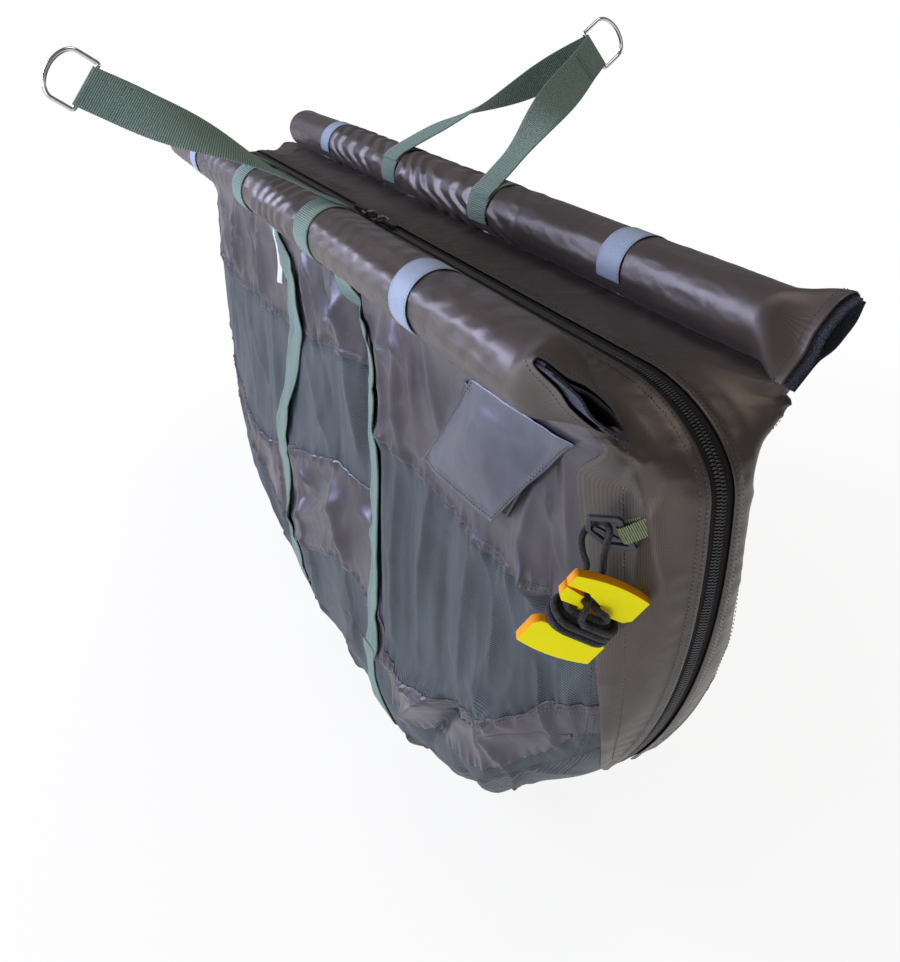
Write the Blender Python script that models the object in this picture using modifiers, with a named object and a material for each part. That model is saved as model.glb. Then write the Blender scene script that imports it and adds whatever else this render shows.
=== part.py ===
"""Weigh sling: a zipped fabric pouch between two foam floats, carried by two webbing handles.

Metres, +Z up. The origin lies between the two floats at their middle. +X is the near end, with the
open sleeve mouths, the clip and the cord winder; -Y is the side with the pocket.
"""
import math

import bmesh
import bpy
from mathutils import Matrix, Vector

# Floats and their sleeves
FOAM_LENGTH = 1.10
FOAM_DIAMETER = 0.053
FLOAT_SPACING = 0.190
SLEEVE_DIAMETER = 0.057
SLEEVE_END_MARGIN = 0.004
MOUTH_LENGTH = 0.040
MOUTH_THICKNESS = 0.0094
MOUTH_TILT = math.radians(45)
SLEEVE_SIDES = 24

# Cloth, webbing and running clearances
CLOTH = 0.0012
WEBBING = 0.0014
WEBBING_WIDTH = 0.042
TAPE = 0.0008
CLEARANCE = 0.0003
STRAP_LIFT = 0.0009
SEAM_GAP = 0.0008

# Pouch: side view outline, plan and section
BOW_HALF_LENGTH = 0.615
BOW_LEVEL = -0.085
BELLY_DROP = 0.505
OUTLINE_POWER = 2.15
COVER_LEVEL = -0.025
SHOULDER_LENGTH = 0.100
CORNER_LENGTH = 0.064
CORNER_HEIGHT_SHARE = 0.8
CORNER_START = 0.030
CORNER_END = 0.068
SHOULDER_POWER_GAIN = 7.0
CORNER_POWER_GAIN = 20.0
TOP_HALF_WIDTH = 0.083
BELLY_HALF_WIDTH = 0.122
WIDENING_POWER = 1.5
END_POWER = 3.4
END_POWER_GAIN = 1.5
KEEL_POWER = 4.0
COVER_EDGE_SHARE = 0.95

# End gussets, leaf shaped, from the cover down to a tip on the keel
GUSSET_HALF_WIDTH = 0.058
GUSSET_TIP_LEVEL = -0.392
GUSSET_POWER = 3.0
GUSSET_ROUNDING = 0.6

# Seams between the bands of each side
MESH_TOP_LEVEL = -0.170
MESH_BOTTOM_MIDDLE = -0.400
MESH_BOTTOM_END = -0.245
BELLY_SEAM_MIDDLE = -0.470
BELLY_SEAM_END = -0.290
SEAM_POWER = 3.5
SIDE_COLUMNS = 20
TOP_BAND_ROWS = 7
MESH_ROWS = 5
MID_BAND_ROWS = 2
BELLY_ROWS = 14
BELLY_CORNER_POWER = 12

# Zip
COIL_WIDTH = 0.0030
COIL_THICKNESS = 0.0025
TAPE_EDGE = 0.0100
SLIDER_OFFSET = 0.016
SLIDER_LENGTH = 0.015
SLIDER_WIDTH = 0.008
SLIDER_HEIGHT = 0.0085
SLIDER_EYE_HEIGHT = 0.0050
SLIDER_EYE_RADIUS = 0.0018
RING_WIDTH = 0.0135
RING_LENGTH = 0.011
RING_BAR = 0.0018
RING_THICKNESS = 0.0014
GRIP_LENGTH = 0.034
GRIP_WIDTH = 0.0075

# Straps, bands and hook-and-loop strips
STRAP_POSITION = 0.125
FRONT_STRAP_LEAN = 0.040
# Where a strap leaves the sleeve for the side panel: outward and up from the float's axis
STRAP_TUCK = ((-0.0062, -0.0308), (-0.0100, -0.0345), (-0.0109, -0.0410))
STRAP_START = 200
BAND_POSITION = 0.374
BAND_WIDTH = 0.034
BAND_START = 195
BAND_END = -45
VELCRO_WIDTH = 0.020
VELCRO_LENGTH = 0.072
VELCRO_THICKNESS = 0.0021
VELCRO_SHOWS = 0.012

# Handles and D-rings
HANDLE_REACH = 0.190
HANDLE_RISE = 0.140
HANDLE_FOOT = 145
LEG_STEPS = 12
LOOP_STEPS = 8
TWIST_START = 0.18
TWIST_END = 0.92
RING_WIRE = 0.0045
RING_INNER_WIDTH = 0.046
RING_DEPTH = 0.036

# Pocket
POCKET_BACK = 0.400
POCKET_FRONT = 0.520
POCKET_TOP = -0.060
POCKET_BOTTOM = -0.165
POCKET_BULGE = 0.012
POCKET_TOP_SHARE = 0.22
POCKET_LIFT = 0.0010
FLAP_TOP = -0.050
FLAP_BOTTOM = -0.122
FLAP_OVERHANG = 0.006

# Side tab
TAB_WIDTH = 0.012
TAB_TOP = -0.040
TAB_BOTTOM = -0.085

# Clip, hanging flat against the near gusset
CLIP_FROM_END = 0.0326
CLIP_CENTRE = Vector((BOW_HALF_LENGTH - CLIP_FROM_END, -0.0646, BOW_LEVEL - 0.0203))
CLIP_ACROSS = Vector((0.6, 0.8, 0.0))
CLIP_UP = Vector((0.0, 0.0, 1.0))
CLIP_THICKNESS = 0.0042
CLIP_LOOP_WIDTH = 0.0125

# Cord and winder
CORD_DIAMETER = 0.0048
WINDER_FROM_END = 0.0339
WINDER_CENTRE = Vector((BOW_HALF_LENGTH - WINDER_FROM_END, -0.0831, -0.1683))
WINDER_ACROSS = Vector((0.217, 0.836, -0.503)).normalized()
WINDER_DOWN = Vector((-0.423, -0.384, -0.821))
WINDER_WIDTH = 0.059
WINDER_HEIGHT = 0.0728
WINDER_THICKNESS = 0.0072
WAIST_GAP = 0.0236
WAIST_WIDTH = 0.023
WINDER_CHAMFER = 0.0045
WINDER_CROWN = 0.004
SLOT_RADIUS = 0.0043
SLOT_LENGTH = 0.0143
SLOT_SLANT = -25
SLOT_MIDDLE = -0.0030
SLOT_ABOVE_WAIST = 0.0047
SLIT_WIDTH = 0.0010
SLIT_SHARE = 0.56
TURNS_PER_LAYER = 3
TURN_PITCH = 0.00595
POINTS_PER_TURN = 24
MILLIMETRE = 0.001
# Places that the cord passes, in millimetres: across, up and out from the winder or the clip
LEAD_THROUGH_SLOT = [
    (-5.5, 7.2, 12.6), (-9.5, 10.5, 12.8), (-10.5, 14.5, 11.8), (-9.6, 17.8, 8.5),
    (-8.7, 19.3, 4.0), (-8.5, 19.5, 0.0), (-9.3, 20.3, -4.5), (-12.0, 23.5, -8.6),
    (-17.0, 30.0, -9.3), (-21.0, 38.0, -9.0)]
LEAD_ROUND_CLIP = [
    (-16.0, -13.0, 8.0), (-17.5, -6.5, 2.0), (-15.5, -3.0, -4.0), (-10.5, 0.8, -6.4),
    (-5.0, 3.4, -5.4), (-0.5, 3.8, 0.0), (1.0, 1.0, 5.6), (-1.0, -7.0, 6.6),
    (-2.3, -16.0, 7.5)]
LEAD_BACK = [
    (-8.0, 38.0, -9.5), (-5.5, 29.0, -9.8), (-3.5, 21.0, -8.8), (-2.4, 17.3, -4.8),
    (-2.0, 16.3, 0.0), (-1.6, 16.6, 3.8), (1.0, 17.8, 7.5), (5.5, 17.8, 9.6),
    (8.8, 14.5, 9.0), (8.0, 10.8, 7.4)]

NEAR, FAR = -1, 1
SIDE_NAMES = {NEAR: "near", FAR: "far"}
BACK, FRONT = -1, 1
END_NAMES = {BACK: "back", FRONT: "front"}

SLEEVE_RADIUS = SLEEVE_DIAMETER / 2
FLOAT_Y = FLOAT_SPACING / 2
COVER_EDGE = TOP_HALF_WIDTH * COVER_EDGE_SHARE
PANEL_TOP = COVER_LEVEL - CLOTH - CLEARANCE
SHOULDER_HEIGHT = COVER_LEVEL - BOW_LEVEL


def clear_scene():
    for thing in list(bpy.data.objects):
        bpy.data.objects.remove(thing)
    for group in list(bpy.data.collections):
        bpy.data.collections.remove(group)


def new_collection(name):
    group = bpy.data.collections.new(name)
    bpy.context.scene.collection.children.link(group)
    return group


def principled(name, colour, roughness=0.6, metallic=0.0):
    material = bpy.data.materials.new(name)
    material.use_nodes = True
    shader = material.node_tree.nodes["Principled BSDF"]
    shader.inputs["Base Color"].default_value = (*colour, 1.0)
    shader.inputs["Roughness"].default_value = roughness
    shader.inputs["Metallic"].default_value = metallic
    return material


def add_object(name, mesh, material):
    thing = bpy.data.objects.new(name, mesh)
    thing.data.materials.append(material)
    PARTS.objects.link(thing)
    return thing


def lerp(start, end, share):
    return start + (end - start) * share


# Shape of the pouch

def depth_share(z):
    return max(0.0, (BOW_LEVEL - z) / BELLY_DROP)


def outline_x(z):
    """Half length of the pouch's sides at height z; their top corners reach the sleeves' ends."""
    if z > BOW_LEVEL:
        rise = min(1.0, (z - BOW_LEVEL) / (SHOULDER_HEIGHT * CORNER_HEIGHT_SHARE))
        return BOW_HALF_LENGTH - CORNER_LENGTH * (1 - math.sqrt(1 - rise * rise))
    share = min(1.0, depth_share(z))
    return BOW_HALF_LENGTH * (1 - share ** OUTLINE_POWER) ** (1 / OUTLINE_POWER)


def centre_x(z):
    """Half length of the pouch along the zip at height z."""
    if z <= BOW_LEVEL:
        return outline_x(z)
    rise = min(1.0, (z - BOW_LEVEL) / SHOULDER_HEIGHT)
    return BOW_HALF_LENGTH - SHOULDER_LENGTH * (1 - math.sqrt(1 - rise * rise))


def section_y(z):
    """Half width of the pouch at mid length, at height z."""
    share = min(1.0, depth_share(z))
    width = lerp(TOP_HALF_WIDTH, BELLY_HALF_WIDTH, share ** WIDENING_POWER)
    return width * (1 - share ** KEEL_POWER) ** (1 / KEEL_POWER)


def end_power(z):
    rise = max(0.0, min(1.0, (z - BOW_LEVEL) / SHOULDER_HEIGHT))
    return (END_POWER + END_POWER_GAIN * depth_share(z) + SHOULDER_POWER_GAIN * rise ** 2
            + CORNER_POWER_GAIN * rise ** 6)


def hull_y(x, z):
    """Half width of the pouch at x and z."""
    length = outline_x(z)
    if abs(x) >= length:
        return 0.0
    power = end_power(z)
    return section_y(z) * (1 - (abs(x) / length) ** power) ** (1 / power)


def hull_x(y, z):
    """Half length of the pouch at y and z."""
    width = section_y(z)
    if abs(y) >= width:
        return 0.0
    share = max(0.0, min(1.0, (abs(y) - CORNER_START) / (CORNER_END - CORNER_START)))
    length = lerp(centre_x(z), outline_x(z), share * share * (3 - 2 * share))
    power = end_power(z)
    return length * (1 - (abs(y) / width) ** power) ** (1 / power)


def keel_z(x, y):
    """Height of the underside at x and y."""
    low, high = BOW_LEVEL - BELLY_DROP, lerp(BOW_LEVEL, BOW_LEVEL - BELLY_DROP, 0.35)
    for _ in range(40):
        middle = (low + high) / 2
        if hull_y(x, middle) > abs(y):
            high = middle
        else:
            low = middle
    return (low + high) / 2


def gusset_edge(z):
    """Distance from the centre plane to the edge of an end gusset at height z."""
    if z > BOW_LEVEL:
        rise = min(1.0, (z - BOW_LEVEL) / SHOULDER_HEIGHT)
        return lerp(GUSSET_HALF_WIDTH, COVER_EDGE, rise * rise)
    share = min(1.0, (BOW_LEVEL - z) / (BOW_LEVEL - GUSSET_TIP_LEVEL))
    return GUSSET_HALF_WIDTH * (1 - share ** GUSSET_POWER) ** GUSSET_ROUNDING


def gusset_level(y):
    """Height at which the edge of an end gusset is y from the centre plane, below the bow."""
    share = (1 - (y / GUSSET_HALF_WIDTH) ** (1 / GUSSET_ROUNDING)) ** (1 / GUSSET_POWER)
    return lerp(BOW_LEVEL, GUSSET_TIP_LEVEL, share)


def side_end(z):
    """Half length of a side panel at height z, where it meets the gusset."""
    return hull_x(gusset_edge(z), z)


def side_point(side, along, z, lift=0.0):
    """Point of a side panel; along runs from -1 to 1 between the two end seams."""
    return hull_point(side, along * side_end(z), z, lift)


def hull_point(side, x, z, lift=0.0):
    """Point on the pouch's side at x and z, moved out from the cloth by lift."""
    step = 0.002
    point = Vector((x, side * hull_y(x, z), z))
    if not lift:
        return point
    run = Vector((2 * step, side * (hull_y(x + step, z) - hull_y(x - step, z)), 0))
    drop = Vector((0, side * (hull_y(x, z + step) - hull_y(x, z - step)), 2 * step))
    normal = run.cross(drop).normalized()
    if normal.y * side < 0:
        normal.negate()
    return point + normal * lift


def mesh_bottom(along):
    return lerp(MESH_BOTTOM_MIDDLE, MESH_BOTTOM_END, abs(along) ** SEAM_POWER)


def belly_seam(along):
    return lerp(BELLY_SEAM_MIDDLE, BELLY_SEAM_END, abs(along) ** SEAM_POWER)


def row_levels(x):
    """Heights of the rows of all bands of a side panel at x, from below the cover to the belly."""
    levels = []
    seams = [(lambda along: PANEL_TOP, lambda along: MESH_TOP_LEVEL, TOP_BAND_ROWS),
             (lambda along: MESH_TOP_LEVEL, mesh_bottom, MESH_ROWS),
             (mesh_bottom, belly_seam, MID_BAND_ROWS)]
    for top, bottom, rows in seams:
        along = x / side_end((top(0) + bottom(0)) / 2)
        start, end = top(along) - SEAM_GAP / 2, bottom(along) + SEAM_GAP / 2
        levels += [lerp(start, end, row / rows) for row in range(rows + 1)]
    return levels


def seam_share(u):
    """Station between the end seams for u in 0 to 1, closer together towards the ends."""
    return math.sin((u - 0.5) * math.pi) * (1 - SEAM_GAP / BOW_HALF_LENGTH)


# Cloth pieces

def mapped_grid(columns, rows, place):
    """Grid mesh of columns by rows cells, each point put where place(u, v) says, u and v in 0 to 1."""
    grid = bmesh.new()
    bmesh.ops.create_grid(grid, x_segments=round(columns), y_segments=round(rows), size=0.5)
    for vertex in grid.verts:
        vertex.co = place(vertex.co.x + 0.5, vertex.co.y + 0.5)
    return grid


def face_away(grid, inside):
    """Turns the faces so that they look away from the point that inside(centre) gives."""
    grid.normal_update()
    score = sum((face.calc_center_median() - inside(face.calc_center_median())).dot(face.normal)
                * face.calc_area() for face in grid.faces)
    if score < 0:
        bmesh.ops.reverse_faces(grid, faces=grid.faces)


def pouch_middle(point):
    reach = BOW_HALF_LENGTH * 0.6
    return Vector((max(-reach, min(reach, point.x)), 0, -0.25))


def cloth_panel(name, columns, rows, place, material, thickness=CLOTH, offset=-1.0,
                inside=pouch_middle):
    """A cloth piece: a shaped grid given its thickness with Solidify."""
    grid = mapped_grid(columns, rows, place)
    face_away(grid, inside)
    mesh = bpy.data.meshes.new(name)
    grid.to_mesh(mesh)
    grid.free()
    mesh.shade_smooth()
    panel = add_object(name, mesh, material)
    solid = panel.modifiers.new("Thickness", "SOLIDIFY")
    solid.thickness = thickness
    solid.offset = offset
    return panel


def side_band(side, name, top, bottom, rows, material):
    """A band of a side panel between two seams, given as heights that depend on along."""
    def place(u, v):
        along = seam_share(u)
        z = lerp(top(along) - SEAM_GAP / 2, bottom(along) + SEAM_GAP / 2, v)
        return side_point(side, along, z)

    return cloth_panel(f"{name}_{SIDE_NAMES[side]}", SIDE_COLUMNS, rows, place, material)


def strip_stations(last_level):
    """Stations of the cover strip, from the back tip over the top to the front tip."""
    top = [("top", -1 + 2 * step / 10) for step in range(1, 10)]
    shoulder = [BOW_LEVEL + SHOULDER_HEIGHT * math.cos(math.radians(angle))
                for angle in (0, 30, 55, 75, 90)]
    nose = [lerp(BOW_LEVEL, last_level, step / 7) for step in range(1, 8)]
    levels = shoulder + nose
    back = [(BACK, level) for level in reversed(levels)]
    front = [(FRONT, level) for level in levels]
    return back + top + front


def strip_point(side, station, inner, outer_gap, share):
    """Point of the cover strip: share runs from the zip side to the seam."""
    kind, value = station
    if kind == "top":
        edge = hull_y(value * hull_x(COVER_EDGE, COVER_LEVEL), COVER_LEVEL) - outer_gap
        y = lerp(inner, edge, share)
        across = lerp(inner, COVER_EDGE - outer_gap, share)
        return Vector((value * hull_x(across, COVER_LEVEL), side * y, COVER_LEVEL))
    y = lerp(inner, max(inner, gusset_edge(value) - outer_gap), share)
    return Vector((kind * hull_x(y, value), side * y, value))


def zip_line_piece(side, name, inner, outer, columns, material, thickness):
    """A strip along the zip, from inner to outer distance, or to the seam where outer is None."""
    tip = gusset_level(TAPE_EDGE + 0.004)
    stations = strip_stations(tip)

    def place(u, v):
        station = stations[round(u * (len(stations) - 1))]
        if outer is None:
            return strip_point(side, station, inner, CLOTH + SEAM_GAP, v)
        kind, value = station
        y = lerp(inner, outer, v)
        if kind == "top":
            return Vector((value * hull_x(y, COVER_LEVEL), side * y, COVER_LEVEL))
        return Vector((kind * hull_x(y, value), side * y, value))

    return cloth_panel(f"{name}_{SIDE_NAMES[side]}", len(stations) - 1, columns, place, material,
                       thickness)


def belly_panel(material):
    """The mesh under the belly, one piece from seam to seam across the keel."""
    corner_y = gusset_edge(BELLY_SEAM_END)
    corner_x = side_end(BELLY_SEAM_END)

    def place(u, v):
        along = seam_share(u)
        across = math.sin((v - 0.5) * math.pi)
        seam = belly_seam(along) - SEAM_GAP / 2
        reach = side_end(seam)
        seam_y = hull_y(along * reach, seam)
        if abs(across) > 0.999:
            return Vector((along * reach, across * seam_y, seam))
        shorter = side_end(gusset_level(abs(across) * corner_y)) - corner_x
        x = along * (reach + shorter * abs(along) ** BELLY_CORNER_POWER)
        y = across * seam_y
        return Vector((x, y, keel_z(x, y)))

    return cloth_panel("belly_mesh", SIDE_COLUMNS, BELLY_ROWS, place, material)


# Webbing

def tube_frame(side):
    """Outward and up directions seen from a float's axis."""
    return Vector((0, side, 0)), Vector((0, 0, 1))


def around_float(side, radius, degrees, x):
    """Point round a float: 0 degrees is outward, 90 up, 180 inward."""
    out, up = tube_frame(side)
    angle = math.radians(degrees)
    return Vector((x, side * FLOAT_Y, 0)) + (out * math.cos(angle) + up * math.sin(angle)) * radius


def edge_pair(centre, width, axis=Vector((1, 0, 0))):
    """Both edges of webbing at one of its centre points."""
    return centre - axis * width / 2, centre + axis * width / 2


def ribbon(name, pairs, material, thickness=WEBBING):
    """Webbing whose two edges run through the given pairs of points."""
    def place(u, v):
        return pairs[round(u * (len(pairs) - 1))][round(v)]

    return cloth_panel(name, len(pairs) - 1, 1, place, material, thickness, offset=0.0)


def strap_x(end, z):
    """Where a side strap lies; the front one leans towards the near end as it goes down."""
    if end == BACK:
        return -STRAP_POSITION
    share = (PANEL_TOP - z) / (PANEL_TOP - BELLY_SEAM_MIDDLE)
    return STRAP_POSITION + FRONT_STRAP_LEAN * min(1.0, max(0.0, share))


def strap_seam(end):
    """Height of the belly seam where a strap crosses it."""
    return belly_seam(strap_x(end, BELLY_SEAM_MIDDLE) / side_end(BELLY_SEAM_MIDDLE))


def side_strap(side, end, material):
    radius = SLEEVE_RADIUS + CLEARANCE + WEBBING / 2
    lift = STRAP_LIFT + WEBBING / 2
    start = end * STRAP_POSITION
    centres = [around_float(side, radius, angle, start)
               for angle in range(STRAP_START, -91, -15)]
    out, up = tube_frame(side)
    axis = Vector((start, side * FLOAT_Y, 0))
    for outward, height in STRAP_TUCK:
        centres.append(axis + out * outward + up * height)
    pairs = [edge_pair(centre, WEBBING_WIDTH) for centre in centres]
    for z in [*row_levels(strap_x(end, BELLY_SEAM_MIDDLE))[1:-1], strap_seam(end) + SEAM_GAP]:
        pairs.append(tuple(hull_point(side, strap_x(end, z) + shift, z, lift)
                           for shift in (-WEBBING_WIDTH / 2, WEBBING_WIDTH / 2)))
    return ribbon(f"side_strap_{END_NAMES[end]}_{SIDE_NAMES[side]}", pairs, material)


def belly_strap(end, material):
    """The part of a strap under the belly, from seam to seam."""
    middle = strap_x(end, BELLY_SEAM_MIDDLE)
    seam = strap_seam(end) - SEAM_GAP
    lift = STRAP_LIFT + WEBBING / 2

    def underside(x, share):
        step = 0.0015
        y = hull_y(x, seam) * share
        slope_x = (keel_z(x + step, y) - keel_z(x - step, y)) / (2 * step)
        slope_y = (keel_z(x, y + step) - keel_z(x, y - step)) / (2 * step)
        return Vector((x, y, keel_z(x, y))) + Vector((slope_x, slope_y, -1)).normalized() * lift

    edges = (middle - WEBBING_WIDTH / 2, middle + WEBBING_WIDTH / 2)
    pairs = [tuple(hull_point(NEAR, x, seam, lift) for x in edges)]
    for row in range(1, BELLY_ROWS):
        share = math.sin(math.pi * (row / BELLY_ROWS - 0.5))
        pairs.append(tuple(underside(x, share) for x in edges))
    pairs.append(tuple(hull_point(FAR, x, seam, lift) for x in edges))
    return ribbon(f"belly_strap_{END_NAMES[end]}", pairs, material)


def reflective_band(side, end, material):
    radius = SLEEVE_RADIUS + CLEARANCE + TAPE / 2
    pairs = [edge_pair(around_float(side, radius, angle, end * BAND_POSITION), BAND_WIDTH)
             for angle in range(BAND_START, BAND_END - 1, -15)]
    return ribbon(f"reflective_band_{END_NAMES[end]}_{SIDE_NAMES[side]}", pairs, material, TAPE)


def handle_axes(side):
    """Direction from a float to its ring, and the direction of the ring's bar."""
    out, up = tube_frame(side)
    angle = math.atan2(HANDLE_RISE, HANDLE_REACH)
    return (out * math.cos(angle) + up * math.sin(angle),
            up * math.cos(angle) - out * math.sin(angle))


def bar_centre(side):
    out, up = tube_frame(side)
    return Vector((0, side * FLOAT_Y, 0)) + out * HANDLE_REACH + up * HANDLE_RISE


def handle_leg(side, end):
    """Edge pairs of one leg, from its foot on the strap up to the ring's bar.

    The webbing lies flat on the float and turns a quarter on its way, so that it meets the bar
    squarely.
    """
    heading, bar = handle_axes(side)
    foot_radius = SLEEVE_RADIUS + 2 * CLEARANCE + 1.5 * WEBBING
    span = math.hypot(HANDLE_REACH, HANDLE_RISE)
    leaves = math.degrees(math.atan2(HANDLE_RISE, HANDLE_REACH) + math.acos(foot_radius / span))
    x = end * STRAP_POSITION
    along_float = Vector((-end, 0, 0))
    pairs = [edge_pair(around_float(side, foot_radius, lerp(HANDLE_FOOT, leaves, step / 3), x),
                       WEBBING_WIDTH, along_float) for step in range(4)]
    start = around_float(side, foot_radius, leaves, x)
    finish = bar_point(side, end, leg_angle())
    for step in range(1, LEG_STEPS):
        share = step / LEG_STEPS
        turned = max(0.0, min(1.0, (share - TWIST_START) / (TWIST_END - TWIST_START)))
        turn = math.pi / 2 * turned * turned * (3 - 2 * turned)
        across = along_float * math.cos(turn) + bar * math.sin(turn)
        pairs.append(edge_pair(start.lerp(finish, share), WEBBING_WIDTH, across))
    return pairs


def leg_angle():
    """Angle round the bar, from the float's direction, at which a leg reaches it."""
    span = math.hypot(HANDLE_REACH, HANDLE_RISE)
    length = math.hypot(STRAP_POSITION, span)
    return math.acos(bar_radius() / length) - math.atan2(span, STRAP_POSITION)


def bar_radius():
    return RING_WIRE / 2 + CLEARANCE + WEBBING / 2


def bar_point(side, end, angle):
    heading, _ = handle_axes(side)
    offset = Vector((end * math.cos(angle), 0, 0)) + heading * math.sin(angle)
    return bar_centre(side) + offset * bar_radius()


def webbing_handle(side, material):
    """One length of webbing: up from the back strap, round the ring's bar, down to the front."""
    _, bar = handle_axes(side)
    first = leg_angle()
    loop = [edge_pair(bar_point(side, FRONT, lerp(math.pi - first, first, step / LOOP_STEPS)),
                      WEBBING_WIDTH, bar) for step in range(LOOP_STEPS + 1)]
    pairs = handle_leg(side, BACK) + loop + handle_leg(side, FRONT)[::-1]
    return ribbon(f"handle_{SIDE_NAMES[side]}", pairs, material)


# Turned and bent pieces

def tube_along(name, points, radius, material, cyclic=False, resolution=2):
    """A tube along points, as a curve with a bevel and filled caps."""
    curve = bpy.data.curves.new(name, "CURVE")
    curve.dimensions = "3D"
    curve.bevel_depth = radius
    curve.bevel_resolution = resolution
    curve.use_fill_caps = True
    spline = curve.splines.new("POLY")
    spline.points.add(len(points) - 1)
    for spot, point in zip(spline.points, points):
        spot.co = (*point, 1)
    spline.use_cyclic_u = cyclic
    curve.materials.append(material)
    thing = bpy.data.objects.new(name, curve)
    PARTS.objects.link(thing)
    return thing


def flat_outline(name, outlines, thickness, material, frame, bevel=0.0):
    """A plate with the given outlines, holes included, placed by frame."""
    curve = bpy.data.curves.new(name, "CURVE")
    curve.dimensions = "2D"
    curve.fill_mode = "BOTH"
    curve.extrude = thickness / 2 - bevel
    curve.bevel_depth = bevel
    curve.bevel_resolution = 1
    curve.offset = -bevel
    for outline in outlines:
        spline = curve.splines.new("POLY")
        spline.points.add(len(outline) - 1)
        for spot, (x, y) in zip(spline.points, outline):
            spot.co = (x, y, 0, 1)
        spline.use_cyclic_u = True
    curve.materials.append(material)
    thing = bpy.data.objects.new(name, curve)
    thing.matrix_world = frame
    PARTS.objects.link(thing)
    return thing


def frame_of(origin, first, second):
    """Placement whose local x and y run along first and second."""
    x = first.normalized()
    z = x.cross(second).normalized()
    y = z.cross(x)
    return Matrix.Translation(origin) @ Matrix((x, y, z)).transposed().to_4x4()


def arc(centre, radius, start, end, count):
    """Points of an arc in degrees, ends included."""
    angles = [math.radians(lerp(start, end, step / count)) for step in range(count + 1)]
    return [(centre[0] + radius * math.cos(a), centre[1] + radius * math.sin(a)) for a in angles]


def foam_float(side, material):
    bpy.ops.mesh.primitive_cylinder_add(
        vertices=SLEEVE_SIDES, radius=FOAM_DIAMETER / 2, depth=FOAM_LENGTH,
        location=(0, side * FLOAT_Y, 0), rotation=(0, math.pi / 2, 0))
    foam = bpy.context.object
    foam.name = f"foam_float_{SIDE_NAMES[side]}"
    foam.data.name = foam.name
    foam.data.materials.append(material)
    for group in list(foam.users_collection):
        group.objects.unlink(foam)
    PARTS.objects.link(foam)
    return foam


def mouth_section(pressed, angle):
    """Point of a sleeve's section, round when pressed is 0 and a flat slit when it is 1."""
    flat = MOUTH_THICKNESS / 2
    wide = SLEEVE_RADIUS * math.pi / 2 - flat * 0.6
    ease = pressed * pressed * (3 - 2 * pressed)
    power = lerp(1.0, 0.5, ease)
    long_part = math.copysign(abs(math.cos(angle)) ** power, math.cos(angle))
    short_part = math.copysign(abs(math.sin(angle)) ** power, math.sin(angle))
    return lerp(SLEEVE_RADIUS, wide, ease) * long_part, lerp(SLEEVE_RADIUS, flat, ease) * short_part


def mouth_direction(side):
    """Direction along the pressed mouth, from its outer top to its inner bottom."""
    return Vector((0, -side * math.cos(MOUTH_TILT), -math.sin(MOUTH_TILT)))


def sleeve_rings():
    """Stations of a sleeve: x, size share and how far the mouth is pressed flat."""
    end = FOAM_LENGTH / 2 + SLEEVE_END_MARGIN
    rings = [(-end - 0.007, 0.0, 0), (-end - 0.005, 0.8, 0), (-end, 1.0, 0)]
    edges = [-BAND_POSITION, -STRAP_POSITION, STRAP_POSITION, BAND_POSITION]
    rings += [(x, 1.0, 0) for x in edges]
    start = FOAM_LENGTH / 2 + 0.001
    rings.append((start, 1.0, 0))
    rings += [(start + (MOUTH_LENGTH - 0.001) * share, 1.0, share)
              for share in (0.25, 0.5, 0.75, 1.0)]
    return rings


def float_sleeve(side, material):
    """Cloth sleeve of a float, closed at the back and pressed flat at its mouth."""
    rings = sleeve_rings()
    long_way = mouth_direction(side)
    short_way = Vector((1, 0, 0)).cross(long_way)

    def place(u, v):
        x, size, pressed = rings[round(u * (len(rings) - 1))]
        long_part, short_part = mouth_section(pressed, 2 * math.pi * v)
        spread = long_way * long_part + short_way * short_part
        return Vector((x, side * FLOAT_Y, 0)) + spread * size

    name = f"float_sleeve_{SIDE_NAMES[side]}"
    grid = mapped_grid(len(rings) - 1, SLEEVE_SIDES, place)
    bmesh.ops.remove_doubles(grid, verts=grid.verts, dist=0.00005)
    face_away(grid, lambda centre: Vector((centre.x, side * FLOAT_Y, 0)))
    mesh = bpy.data.meshes.new(name)
    grid.to_mesh(mesh)
    grid.free()
    mesh.shade_smooth()
    sleeve = add_object(name, mesh, material)
    solid = sleeve.modifiers.new("Thickness", "SOLIDIFY")
    solid.thickness = CLOTH
    solid.offset = -1.0
    return sleeve


def velcro_strip(side, layer, name, material):
    """One of the two strips that close a sleeve's mouth; layer is -1 or 1."""
    long_way = mouth_direction(side)
    short_way = Vector((1, 0, 0)).cross(long_way)
    mouth = FOAM_LENGTH / 2 + MOUTH_LENGTH
    x = mouth + VELCRO_SHOWS - VELCRO_WIDTH / 2
    middle = short_way * layer * (CLEARANCE / 2 + VELCRO_THICKNESS / 2)
    bpy.ops.mesh.primitive_cube_add(size=1)
    strip = bpy.context.object
    strip.name = f"{name}_{SIDE_NAMES[side]}"
    strip.data.name = strip.name
    place = frame_of(Vector((x, side * FLOAT_Y, 0)) + middle, Vector((1, 0, 0)), long_way)
    strip.data.transform(Matrix.Diagonal((VELCRO_WIDTH, VELCRO_LENGTH, VELCRO_THICKNESS, 1)))
    strip.matrix_world = place
    strip.data.materials.append(material)
    for group in list(strip.users_collection):
        group.objects.unlink(strip)
    PARTS.objects.link(strip)
    return strip


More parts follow.
